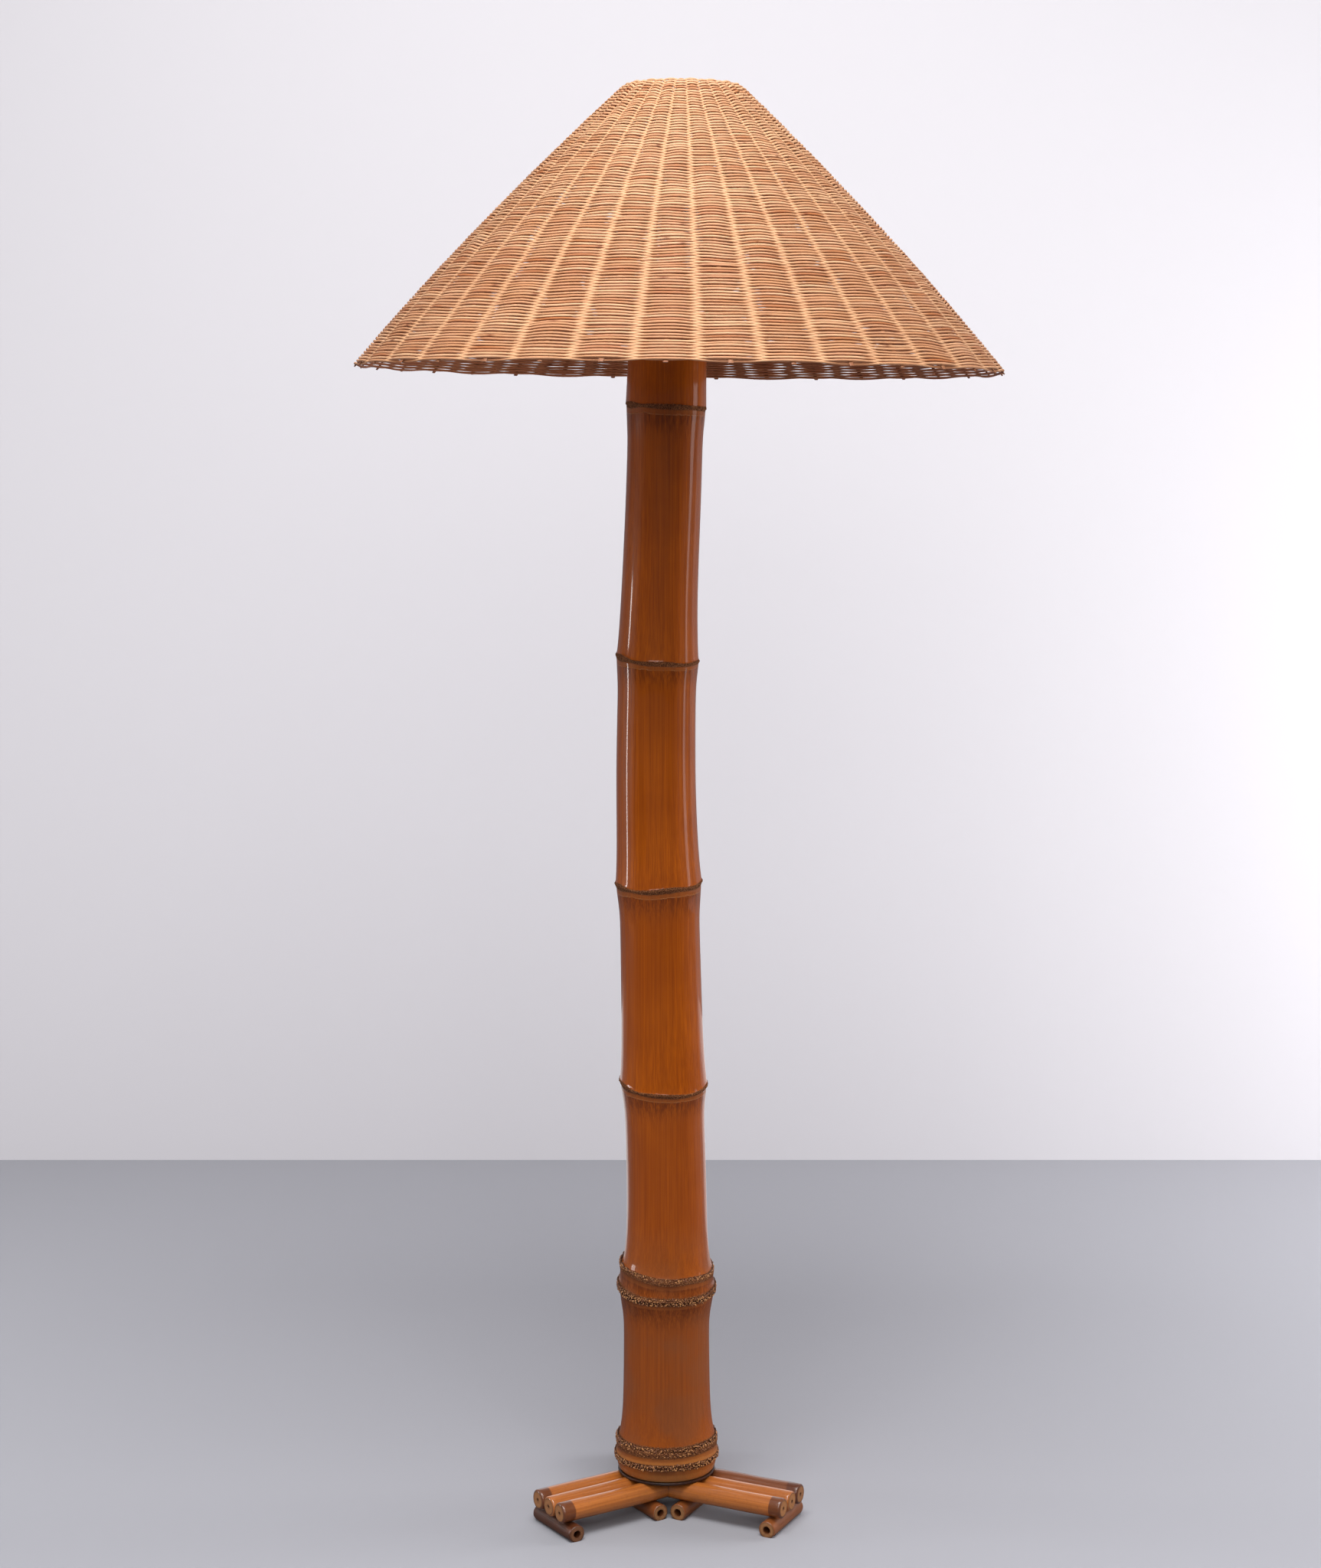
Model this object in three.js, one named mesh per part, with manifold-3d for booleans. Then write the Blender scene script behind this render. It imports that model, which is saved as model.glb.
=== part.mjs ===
// Floor lamp: a bent bamboo culm on a three-legged foot of canes, under a wide woven cone shade.
// Millimetres, +Z up. The origin lies on the floor under the centre of the shade's rim,
// +X points to the right and +Y to the back.

import * as THREE from 'three';
import { mergeVertices } from 'three/addons/utils/BufferGeometryUtils.js';
import Module from 'manifold-3d';

const wasm = await Module();
wasm.setup();

// Clearances
const seatGap = 0.3; // between pieces that rest on, or are fixed to, each other
const turnGap = 0.6; // round a piece that turns or slides in another
const cutOverrun = 3; // how far a cut runs past what it cuts
const mergeStep = 0.0001; // corners nearer than this are one corner

// Facets round each kind of piece
const culmSides = 24;
const chamberSides = 16; // inside of the culm, and its plug
const caneSides = 12;
const crossCaneSides = 10;
const lampSides = 14; // lampholder, bulb and finial
const smallSides = 12; // bores, tubes and shafts
const wireSides = 6;
const fastenerSides = 6;

// Foot: six cross canes carry nine leg canes, three to a leg
const baseShift = -15.5; // centre of the foot, left of the origin
const legTurn = THREE.MathUtils.degToRad(3.2);
const legAngles = [210, 330, 90].map((angle) => THREE.MathUtils.degToRad(angle) + legTurn);
const legNames = ['left', 'right', 'rear'];
const footRadius = 11;
const footFlat = 1.5; // planed off under the cross cane
const footLength = 90;
const footBore = 4.5;
const innerFootReach = 38.5; // centre of the foot to the inner cross cane
const outerFootReach = 163;
const caneRadius = 13;
const caneSideGap = 0.5;
const caneReach = 178; // centre of the foot to the canes' outer ends
const caneBore = 2;
const endChamfer = 1;

// Nails and screws of the foot
const nailRadius = 1.2;
const nailHead = 2.6;
const nailHeadHeight = 1.4;
const nailLength = 28;
const screwRadius = 2.5;
const screwHead = 5;
const screwHeadHeight = 3;
const screwLength = 82;
const headDepth = 0.8; // heads lie this far above the floor

// Disc and turned plug that join the culm to the foot
const discRadius = 57.5;
const discThickness = 3;
const recessRadius = 46; // turned out of the culm's foot for the plug
const basePlugHeight = 40;

// Culm. Rings are counted from the foot up.
const culmLength = 1439.6; // foot to the cut top, measured on the centreline
const culmFootDiameter = 127;
const rootRingDiameter = 135.6; // the lowest and thickest ring
const ringShares = [0.0136, 0.0275, 0.1657, 0.1831, 0.3526, 0.529, 0.7291, 0.9423];
const ringDiameterShares = [1, 0.978, 0.949, 0.905, 0.833, 0.818, 0.781, 0.737];
const bodyDiameterShares = [1, 0.99, 0.87, 0.92, 0.797, 0.79, 0.78, 0.738, 0.76];
const bodyTaperShare = 0.015; // each length is wider at its foot by this share
const swellAboveShare = 0.75; // of what the ring stands out from the body
const swellBelowShare = 0.62;
const swellReach = 40; // how far the swelling above a ring dies away
const swellReachShares = [0.3, 0.55, 0.3, 0.58, 1, 1, 1, 0.6];
const swellBelowReach = 28;
const ringHalfHeight = 5.5;
const rootRings = 4; // the lowest rings, which carry cut root stubs
const rootRingHalfHeight = 8;
const rootKnob = 2.6; // depth between the root stubs of a ring
const culmBow = 14; // sideways bend of the centreline
const bowShares = [0, -0.02, 0, -0.38, -0.69, -1, -0.76, -0.26, 0.07];
const wallFoot = 11.5;
const wallTop = 8.4;
const passBore = 9; // bored through each inner wall for the cable
const innerWallHalf = 2.5;
const innerWallDome = 14; // height over which a chamber closes to its inner wall

// Cable bush in the culm's back
const bushHeight = 80; // above the culm's foot
const bushRadius = 4.2;
const bushBore = 3;
const bushFlange = 7;
const bushFlangeHeight = 1.8;

// Shade
const shadeLean = 0.0129; // radians, towards +X
const rimRadius = 400;
const shadeTopRadius = 70.3;
const shadeHeight = 346;
const shadeBulge = 10.2; // how far the slope swells out at half height
const stakeCount = 35;
const stakeThickness = 1.8; // the stakes are flat, with their width along the wall
const stakeWidth = 6;
const strandDiameter = 2.3;
const pegLength = 2.4; // stakes show this far below the last strands
const pegRoot = 12; // how far a stake's end runs up inside the weave
const slopeShares = [0, 0.3, 0.65, 1]; // rows of the woven wall
const slopeStepShare = 0.01; // step over which the wall's direction is measured

// Shade carrier: top ring, three arms and washer, in one piece
const carrierWire = 2.2;
const carrierRingInset = 8; // below the shade's top
const carrierDrop = 20.7; // washer below ring
const carrierWasherRadius = 12.5;
const carrierWasherThickness = 2;
const carrierArms = 3;
const armRiseShare = 0.417; // of the drop, reached half way out

// Top plug, fixing tube, nuts and washer
const culmCutRise = 40; // culm's cut top above the rim's plane
const plugFlangeRadius = 47.5;
const plugFlangeHeight = 6;
const spigotLength = 28;
const spigotClearance = 1.6; // the spigot is square to the shade, the culm isn't quite
const tubeRadius = 5;
const tubeBore = 3.2;
const tubeTail = 5; // below the lower nut
const nutRadius = 9;
const nutHeight = 6;
const washerRadius = 14;
const washerThickness = 2;

// Harp with its saddle and locking ferrules
const saddleWidth = 12;
const saddleThickness = 2.5;
const tongueReach = 34; // lampholder's axis to each upturned tongue
const tongueThickness = 3;
const tongueNarrow = 3.4;
const tongueShoulder = 10; // saddle's underside to where the tongue narrows
const tongueTip = 7; // length of the narrow part
const saddleBend = 3;
const harpWire = 2.25;
const harpBow = 56;
const harpStraight = 24;
const harpWidthShares = [0.7, 1, 0.9, 0.55, 0.15];
const harpRiseShares = [0.18, 0.45, 0.7, 0.91, 0.995];
const bossRadius = 6.5;
const bossHeight = 9;
const studRadius = 3;
const studLength = 18.5;
const ferruleWall = 1.5;
const ferruleLength = 14;

// Lampholder, measured from the foot of its cap
const capHub = 8;
const capHubHeight = 4;
const capRadius = 18.6;
const capHeight = 20;
const capStep = 14.5; // height of the inner ledge that the core stands on
const capWaistShares = [0.75, 0.55]; // of the cap's radius and of the ledge's height
const capWall = 1;
const shellOverlap = 5; // of the shell in the cap's lip
const shellHeight = 45;
const shellWall = 0.8;
const beadHeight = 3;
const linerWall = 0.4;
const coreHeight = 20;
const coreRadius = 15.4;
const screwShellWall = 0.7;
const screwShellHeight = 22;
const screwShellMouth = 8;
const contactRadius = 4;
const contactHeight = 2.4;
const terminalRadius = 1.6;
const terminalHead = 2.8;
const terminalHeadHeight = 2.4;
const terminalLength = 6;
const terminalInset = 0.8; // heads lie this far inside the core's wall
const keyShaft = 2;
const keyDepth = 10; // length of the shaft inside the core
const keyReach = 11; // core's wall to the thumb piece
const keyLength = 13;
const keyHeight = 17;
const keyThickness = 3.2;

// Bulb
const bulbScrewRadius = 13.2;
const bulbTip = 4.5;
const bulbTipHeight = 3.5;
const bulbScrewHeight = 21;
const bulbCapWall = 0.5;
const bulbHeight = 107;
const bulbRadius = 30;
const flankShares = [[0.735, 0.485], [0.93, 0.6]]; // of the bulb's radius and height, below its ball
const glassWall = 1;
const stemRadius = 3;
const stemHeight = 38;
const filamentSpread = 11;
const filamentRise = 14;
const filamentCrownShare = 1.2; // the filament's middle stands this share of the rise above the stem
const filamentWire = 0.6;

// Finial
const finialHeight = 23.4;
const finialRadius = 9;
const finialNeck = 5.2;
const finialNeckShares = [0.36, 0.24]; // of the height, upper and lower end of the neck
const finialKnobShares = [[0.45, 0.96], [0.8, 0.84], [0.92, 0.66], [0.78, 0.5]]; // of radius and height
const finialFootShare = 0.16;
const finialBore = 17;

// Colours, roughness and metalness
const culmFinish = finish('#a5662f', 0.25, 0);
const caneFinish = finish('#c98a4b', 0.35, 0);
const rattanFinish = finish('#c39a6d', 0.7, 0);
const darkWoodFinish = finish('#4a2d1a', 0.5, 0);
const plugFinish = finish('#b98f5c', 0.6, 0);
const brassFinish = finish('#c9a44c', 0.3, 1);
const steelFinish = finish('#b8b8b4', 0.35, 1);
const blackFinish = finish('#1d1c1b', 0.45, 0);
const fibreFinish = finish('#8a6f4d', 0.85, 0);
const glassFinish = finish('#f4f1ea', 0.2, 0);

function finish(color, roughness, metalness) {
  return new THREE.MeshStandardMaterial({ color, roughness, metalness });
}

// Turns a geometry into a solid, with shared corners merged and no empty triangles.
function solidOf(geometry) {
  const bare = geometry.clone();
  bare.deleteAttribute('normal');
  bare.deleteAttribute('uv');
  const merged = mergeVertices(bare, mergeStep);
  const index = merged.index.array;
  const kept = [];
  for (let i = 0; i < index.length; i += 3) {
    const [a, b, c] = [index[i], index[i + 1], index[i + 2]];
    if (a !== b && b !== c && c !== a) kept.push(a, b, c);
  }
  const points = new Float32Array(merged.attributes.position.array);
  if (signedVolume(points, kept) < 0) kept.reverse();
  return new wasm.Manifold(
    new wasm.Mesh({ numProp: 3, vertProperties: points, triVerts: new Uint32Array(kept) }),
  );
}

// Six times the enclosed volume; negative when the faces point inwards.
function signedVolume(points, index) {
  const [a, b, c] = [new THREE.Vector3(), new THREE.Vector3(), new THREE.Vector3()];
  let sum = 0;
  for (let i = 0; i < index.length; i += 3) {
    a.fromArray(points, index[i] * 3);
    b.fromArray(points, index[i + 1] * 3);
    c.fromArray(points, index[i + 2] * 3);
    sum += a.dot(b.cross(c));
  }
  return sum;
}

function geometryOf(solid) {
  const { vertProperties, triVerts } = solid.getMesh();
  const geometry = new THREE.BufferGeometry();
  geometry.setAttribute('position', new THREE.BufferAttribute(vertProperties, 3));
  geometry.setIndex(new THREE.BufferAttribute(triVerts, 1));
  geometry.computeVertexNormals();
  return geometry;
}

function join(...geometries) {
  return geometryOf(geometries.map(solidOf).reduce((sum, next) => sum.add(next)));
}

function cut(geometry, ...tools) {
  return geometryOf(tools.map(solidOf).reduce((rest, tool) => rest.subtract(tool), solidOf(geometry)));
}

function overlapOf(geometry, other) {
  return geometryOf(solidOf(geometry).intersect(solidOf(other)));
}

// Revolves [radius, height] points about Z. The list starts and ends on the axis or closes itself.
function revolve(profile, sides) {
  const points = profile.map(([radius, height]) => new THREE.Vector2(radius, height));
  const turned = new THREE.LatheGeometry(points, sides);
  turned.rotateX(Math.PI / 2);
  return geometryOf(solidOf(turned));
}

// A tube between two radii, standing on z = 0.
function sleeve(inner, outer, height, sides) {
  return revolve([[inner, 0], [outer, 0], [outer, height], [inner, height], [inner, 0]], sides);
}

// A plain round bar, standing on z = 0.
function bar(radius, height, sides) {
  return revolve([[0, 0], [radius, 0], [radius, height], [0, height]], sides);
}

// A round bar along a curve.
function wire(curve, radius, steps, sides) {
  const section = new THREE.Shape();
  for (let i = 0; i < sides; i += 1) {
    const angle = (2 * Math.PI * i) / sides;
    const [x, y] = [radius * Math.cos(angle), radius * Math.sin(angle)];
    if (i === 0) section.moveTo(x, y);
    else section.lineTo(x, y);
  }
  section.closePath();
  return new THREE.ExtrudeGeometry(section, { steps, bevelEnabled: false, extrudePath: curve });
}

function add(parent, name, geometry, material, [x, y, z] = [0, 0, 0]) {
  const mesh = new THREE.Mesh(geometry, material);
  mesh.name = name;
  mesh.position.set(x, y, z);
  parent.add(mesh);
  return mesh;
}

// Heights of the foot's pieces, from the floor up
const footCentre = footRadius - footFlat;
const footTop = footCentre + footRadius;
const caneCentre = footTop + seatGap + caneRadius;
const caneSpacing = 2 * caneRadius + caneSideGap;
const discFoot = caneCentre + caneRadius + seatGap;
const culmFoot = discFoot + discThickness + seatGap;
const rimHeight = culmFoot + culmLength - culmCutRise; // the rim's plane hangs below the culm's cut top

// A fastener that stands on its head: head at z = 0, shank upwards.
function fastener(radius, head, headHeight, length, sides) {
  return revolve(
    [[0, 0], [head, 0], [radius, headHeight], [radius, length - radius], [0, length]],
    sides,
  );
}

// What a fastener needs cut out for it: its own shape with clearance all round.
function fastenerHole(radius, head, headHeight, length, sides) {
  const [wide, narrow] = [head + seatGap, radius + seatGap];
  return revolve(
    [[0, -cutOverrun], [wide, -cutOverrun], [wide, seatGap], [narrow, headHeight + seatGap],
      [narrow, length + seatGap], [0, length + seatGap]],
    sides,
  );
}

const nail = [nailRadius, nailHead, nailHeadHeight, nailLength, fastenerSides];
const baseScrew = [screwRadius, screwHead, screwHeadHeight, screwLength, fastenerSides];

// Where the fasteners of a leg stand, in the leg's own frame with +X pointing outwards
const nailPlaces = [innerFootReach, outerFootReach].flatMap((reach) => [
  [reach, -caneSpacing, headDepth],
  [reach, caneSpacing, headDepth],
]);
const screwPlace = [innerFootReach, 0, headDepth];

function legHoles() {
  const holes = nailPlaces.map((place) => fastenerHole(...nail).translate(...place));
  return [...holes, fastenerHole(...baseScrew).translate(...screwPlace)];
}

// A cane with a pith hole, lying along X from the foot's centre, with its outer end chamfered.
function legCane(offset) {
  const outer = caneReach - endChamfer;
  const cane = revolve(
    [[caneBore, -caneRadius], [caneRadius, -caneRadius], [caneRadius, outer],
      [caneRadius - endChamfer, caneReach], [caneBore, caneReach], [caneBore, -caneRadius]],
    caneSides,
  );
  cane.rotateY(Math.PI / 2).translate(0, offset, caneCentre);
  return cut(overlapOf(cane, legSector()), ...legHoles());
}

// The third of the foot that belongs to one leg, so that three rafts meet in a mitre.
function legSector() {
  const tip = seatGap / 2 / Math.sin(Math.PI / 3);
  const far = caneReach + cutOverrun;
  const side = (far - tip) * Math.tan(Math.PI / 3);
  const outline = new THREE.Shape();
  outline.moveTo(tip, 0);
  outline.lineTo(far, -side);
  outline.lineTo(far, side);
  outline.closePath();
  const depth = 2 * (caneRadius + cutOverrun);
  const sector = new THREE.ExtrudeGeometry(outline, { depth, bevelEnabled: false });
  return sector.translate(0, 0, caneCentre - depth / 2);
}

// A short hollow cane across the leg, planed flat underneath.
function crossCane(reach) {
  const half = footLength / 2;
  const cane = revolve(
    [[footBore, -half], [footRadius - endChamfer, -half], [footRadius, endChamfer - half],
      [footRadius, half - endChamfer], [footRadius - endChamfer, half], [footBore, half],
      [footBore, -half]],
    crossCaneSides,
  );
  cane.rotateX(Math.PI / 2).translate(reach, 0, footCentre);
  const planed = new THREE.BoxGeometry(2 * footRadius, footLength + cutOverrun, 2 * footRadius);
  planed.translate(reach, 0, -footRadius);
  return cut(cane, planed, ...legHoles());
}

function addLeg(parent, name, angle) {
  const leg = new THREE.Group();
  leg.position.set(baseShift, 0, 0);
  leg.rotation.z = angle;
  parent.add(leg);
  add(leg, `${name}_leg_cane_1`, legCane(-caneSpacing), caneFinish);
  add(leg, `${name}_leg_cane_2`, legCane(0), caneFinish);
  add(leg, `${name}_leg_cane_3`, legCane(caneSpacing), caneFinish);
  add(leg, `${name}_inner_foot`, crossCane(innerFootReach), caneFinish);
  add(leg, `${name}_outer_foot`, crossCane(outerFootReach), caneFinish);
  nailPlaces.forEach((place, i) => {
    add(leg, `${name}_foot_nail_${i + 1}`, fastener(...nail), steelFinish, place);
  });
  add(leg, `${name}_base_screw`, fastener(...baseScrew), steelFinish, screwPlace);
}

// The base screws' holes as the disc and the plug need them, measured from the floor.
function baseScrewHoles() {
  return legAngles.map((angle) => {
    const hole = fastenerHole(...baseScrew).translate(...screwPlace);
    return hole.rotateZ(angle);
  });
}

function addBase(parent) {
  legNames.forEach((name, i) => addLeg(parent, name, legAngles[i]));
  const disc = bar(discRadius, discThickness, culmSides).translate(0, 0, discFoot);
  add(parent, 'base_disc', cut(disc, ...baseScrewHoles()), darkWoodFinish, [baseShift, 0, 0]);
  const plug = bar(recessRadius - turnGap, basePlugHeight, chamberSides).translate(0, 0, culmFoot);
  add(parent, 'base_plug', cut(plug, ...baseScrewHoles()), plugFinish, [baseShift, 0, 0]);
}

// Centreline of the culm: its sideways place at a height above its foot.
const bowCurve = new THREE.CatmullRomCurve3(
  bowShares.map((share, i) => new THREE.Vector3(
    share * culmBow,
    0,
    (i / (bowShares.length - 1)) * culmLength,
  )),
);

function culmShift(height) {
  const share = THREE.MathUtils.clamp(height / culmLength, 0, 1);
  return baseShift + bowCurve.getPoint(share).x;
}

const ringHeights = ringShares.map((share) => share * culmLength);
const ringRadii = ringDiameterShares.map((share) => (share * rootRingDiameter) / 2);
const bodyRadii = bodyDiameterShares.map((share) => (share * culmFootDiameter) / 2);

function ringHalf(ring) {
  return ring < rootRings ? rootRingHalfHeight : ringHalfHeight;
}

// Plain body of one length of the culm, a little wider at its foot.
function bodyRadius(length, height) {
  const from = length === 0 ? 0 : ringHeights[length - 1];
  const to = length === ringHeights.length ? culmLength : ringHeights[length];
  const share = (height - from) / (to - from);
  return bodyRadii[length] * (1 + bodyTaperShare * (1 - 2 * share));
}

// Outer radius at a height above the culm's foot. The body swells towards the rings at both
// ends of its length, and each ring is a rounded bead on that swelling.
function culmRadius(height) {
  const length = ringHeights.filter((ring) => ring <= height).length;
  const body = bodyRadius(length, height);
  let radius = body;
  if (length > 0) {
    const above = height - ringHeights[length - 1];
    const reach = swellReach * swellReachShares[length - 1];
    const excess = Math.max(0, ringRadii[length - 1] - body);
    radius += swellAboveShare * excess * Math.exp(-above / reach);
  }
  if (length < ringHeights.length) {
    const below = ringHeights[length] - height;
    const excess = Math.max(0, ringRadii[length] - body);
    const swell = swellBelowShare * excess * Math.exp(-((below / swellBelowReach) ** 2));
    radius = Math.max(radius, body + swell);
  }
  ringHeights.forEach((ring, i) => {
    const away = (height - ring) / ringHalf(i);
    if (Math.abs(away) >= 1) return;
    const bead = ringRadii[i] - ringHalf(i) * (1 - Math.sqrt(1 - away * away));
    radius = Math.max(radius, bead);
  });
  return radius;
}

// Heights at which the culm's outline has a point: around each ring, and along each length.
function culmStations() {
  const beadShares = [-1, -0.6, 0.6, 1];
  const lengthShares = [0.07, 0.25, 0.6, 0.92];
  const stations = [0];
  ringHeights.forEach((ring, i) => {
    beadShares.forEach((share) => stations.push(ring + share * ringHalf(i)));
    const next = ringHeights[i + 1] ?? culmLength;
    const low = ring + ringHalf(i);
    const high = next - ringHalf(Math.min(i + 1, ringHeights.length - 1));
    const clear = high - low;
    if (clear > 4 * ringHalf(i)) {
      lengthShares.forEach((share) => stations.push(low + share * clear));
    }
  });
  const spare = culmLength + cutOverrun + culmFootDiameter * Math.sin(shadeLean);
  return [...stations.filter((height) => height >= 0 && height < culmLength), spare]
    .filter((height, i, all) => i === 0 || height > all[i - 1] + mergeStep);
}

// Radius of the outline at a height: straight between two neighbouring stations.
function outlineRadius(height) {
  const stations = culmStations();
  const next = stations.findIndex((station) => station > height);
  const [low, high] = [stations[next - 1], stations[next]];
  return THREE.MathUtils.lerp(culmRadius(low), culmRadius(high), (height - low) / (high - low));
}

// Inner radius of the chamber in one length of the culm.
function chamberRadius(length, height) {
  const wall = THREE.MathUtils.lerp(wallFoot, wallTop, height / culmLength);
  return bodyRadius(length, height) - wall;
}

// The culm's hollow from the top down: chambers between bored inner walls, and below the root
// rings a recess turned out for the plug. It runs past the culm at both ends.
function culmHollow(top) {
  const lastRing = ringHeights.length - 1;
  const points = [[0, top], [chamberRadius(lastRing + 1, culmLength), top]];
  for (let upper = lastRing; upper >= rootRings - 1; upper -= 1) {
    const lower = upper < rootRings ? upper - 1 : upper; // the lowest wall fills a pair of rings
    const over = ringHeights[upper] + innerWallHalf + innerWallDome;
    const under = ringHeights[lower] - innerWallHalf - innerWallDome;
    points.push([chamberRadius(upper + 1, over), over]);
    points.push([passBore, ringHeights[upper] + innerWallHalf]);
    points.push([passBore, ringHeights[lower] - innerWallHalf]);
    points.push([chamberRadius(lower, under), under]);
  }
  points.push([recessRadius, basePlugHeight + innerWallDome]);
  points.push([recessRadius, -cutOverrun]);
  points.push([0, -cutOverrun]);
  return bendCulm(revolve(points, chamberSides));
}

// Moves each corner sideways with the culm's centreline, and sets the root stubs in and out.
function bendCulm(geometry) {
  const places = geometry.attributes.position;
  const point = new THREE.Vector3();
  for (let i = 0; i < places.count; i += 1) {
    point.fromBufferAttribute(places, i);
    const height = point.z;
    const radius = Math.hypot(point.x, point.y);
    const ring = ringHeights.findIndex((at, n) => n < rootRings && Math.abs(height - at) < ringHalf(n));
    if (ring >= 0 && radius > recessRadius + wallFoot / 2) {
      const column = Math.round((Math.atan2(point.y, point.x) * culmSides) / (2 * Math.PI));
      const knob = (column + ring) % 2 === 0 ? 0 : rootKnob;
      point.multiply(new THREE.Vector3(1 - knob / radius, 1 - knob / radius, 1));
    }
    const shift = height > basePlugHeight ? culmShift(height) : baseShift;
    places.setXYZ(i, point.x + shift, point.y, culmFoot + height);
  }
  return geometry;
}

// Pose of everything that stands square to the shade: heights are above the rim's plane.
function fittingGroup() {
  const group = new THREE.Group();
  group.position.set(0, 0, rimHeight);
  group.rotation.y = shadeLean;
  return group;
}

function placedLikeFitting(geometry) {
  const group = fittingGroup();
  group.updateMatrix();
  return geometry.applyMatrix4(group.matrix);
}

function culm() {
  const stations = culmStations();
  const top = stations[stations.length - 1];
  const outline = stations.map((height) => [culmRadius(Math.min(height, culmLength)), height]);
  const bent = bendCulm(revolve([[0, 0], ...outline, [0, top]], culmSides));
  const size = 2 * culmFootDiameter;
  const topCut = new THREE.BoxGeometry(size, size, size);
  topCut.translate(0, 0, culmCutRise + size / 2);
  const bushHole = bar(bushRadius + seatGap, culmFootDiameter, smallSides);
  bushHole.rotateX(-Math.PI / 2).translate(culmShift(bushHeight), 0, culmFoot + bushHeight);
  return cut(bent, culmHollow(top + cutOverrun), placedLikeFitting(topCut), bushHole);
}

// A flanged sleeve through the culm's back wall, for the cable.
function cableBush() {
  const edges = [-1, 0, 1].map((side) => outlineRadius(bushHeight + side * bushFlange));
  const face = Math.max(...edges) + seatGap;
  const inside = chamberRadius(2, bushHeight);
  const profile = [[bushBore, inside], [bushRadius, inside], [bushRadius, face], [bushFlange, face],
    [bushFlange, face + bushFlangeHeight], [bushBore, face + bushFlangeHeight], [bushBore, inside]];
  const bush = revolve(profile, smallSides);
  return bush.rotateX(-Math.PI / 2).translate(culmShift(bushHeight), 0, culmFoot + bushHeight);
}

// Heights of the fitting's pieces above the rim's plane, from the culm's top up
const plugSeat = culmCutRise + seatGap;
const plugTop = plugSeat + plugFlangeHeight;
const spigotFoot = culmCutRise - spigotLength;
const lowerNutFoot = spigotFoot - seatGap - nutHeight;
const washerFoot = plugTop + seatGap;
const upperNutFoot = washerFoot + washerThickness + seatGap;
const saddleFoot = upperNutFoot + nutHeight + seatGap;
const capFoot = saddleFoot + saddleThickness + seatGap;
const ferruleFoot = saddleFoot + tongueShoulder + seatGap;
const wireFoot = saddleFoot + tongueShoulder + tongueTip + seatGap;
const carrierRingHeight = shadeHeight - carrierRingInset;
const carrierWasherCentre = carrierRingHeight - carrierDrop;
const shoulderHeight = carrierWasherCentre - carrierWasherThickness / 2 - seatGap;
const finialFoot = carrierWasherCentre + carrierWasherThickness / 2 + seatGap;
const coreFoot = capFoot + capStep + seatGap;
const coreTop = coreFoot + coreHeight;
const bulbFoot = coreTop + seatGap + contactHeight + seatGap;
const shellInner = capRadius - capWall - seatGap - shellWall;

// Turned plug that closes the culm's top, with its hole on the lampholder's axis.
function topPlug() {
  const middle = culmLength - spigotLength / 2;
  const shift = culmShift(middle) - shadeLean * (culmFoot + middle - rimHeight);
  const spigot = chamberRadius(ringHeights.length, culmLength) - spigotClearance;
  const plug = revolve(
    [[0, spigotFoot], [spigot, spigotFoot], [spigot, plugSeat], [plugFlangeRadius, plugSeat],
      [plugFlangeRadius, plugTop - endChamfer], [plugFlangeRadius - endChamfer, plugTop],
      [0, plugTop]],
    culmSides,
  );
  plug.translate(shift, 0, 0);
  const hole = bar(tubeRadius + seatGap, plugTop + 2 * cutOverrun, smallSides).translate(0, 0, -cutOverrun);
  return cut(plug, hole);
}

// A nut is the overlap of a six-sided bar and a round blank with chamfered edges.
function nut() {
  const blank = revolve(
    [[0, 0], [nutRadius - endChamfer, 0], [nutRadius, endChamfer], [nutRadius, nutHeight - endChamfer],
      [nutRadius - endChamfer, nutHeight], [0, nutHeight]],
    lampSides,
  );
  const hole = bar(tubeRadius + seatGap, nutHeight + 2 * cutOverrun, smallSides).translate(0, 0, -cutOverrun);
  return cut(overlapOf(bar(nutRadius, nutHeight, 6), blank), hole);
}

function fixingTube() {
  const foot = lowerNutFoot - tubeTail;
  const top = capFoot + capHubHeight + capWall;
  return sleeve(tubeBore, tubeRadius, top - foot, smallSides).translate(0, 0, foot);
}

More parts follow.
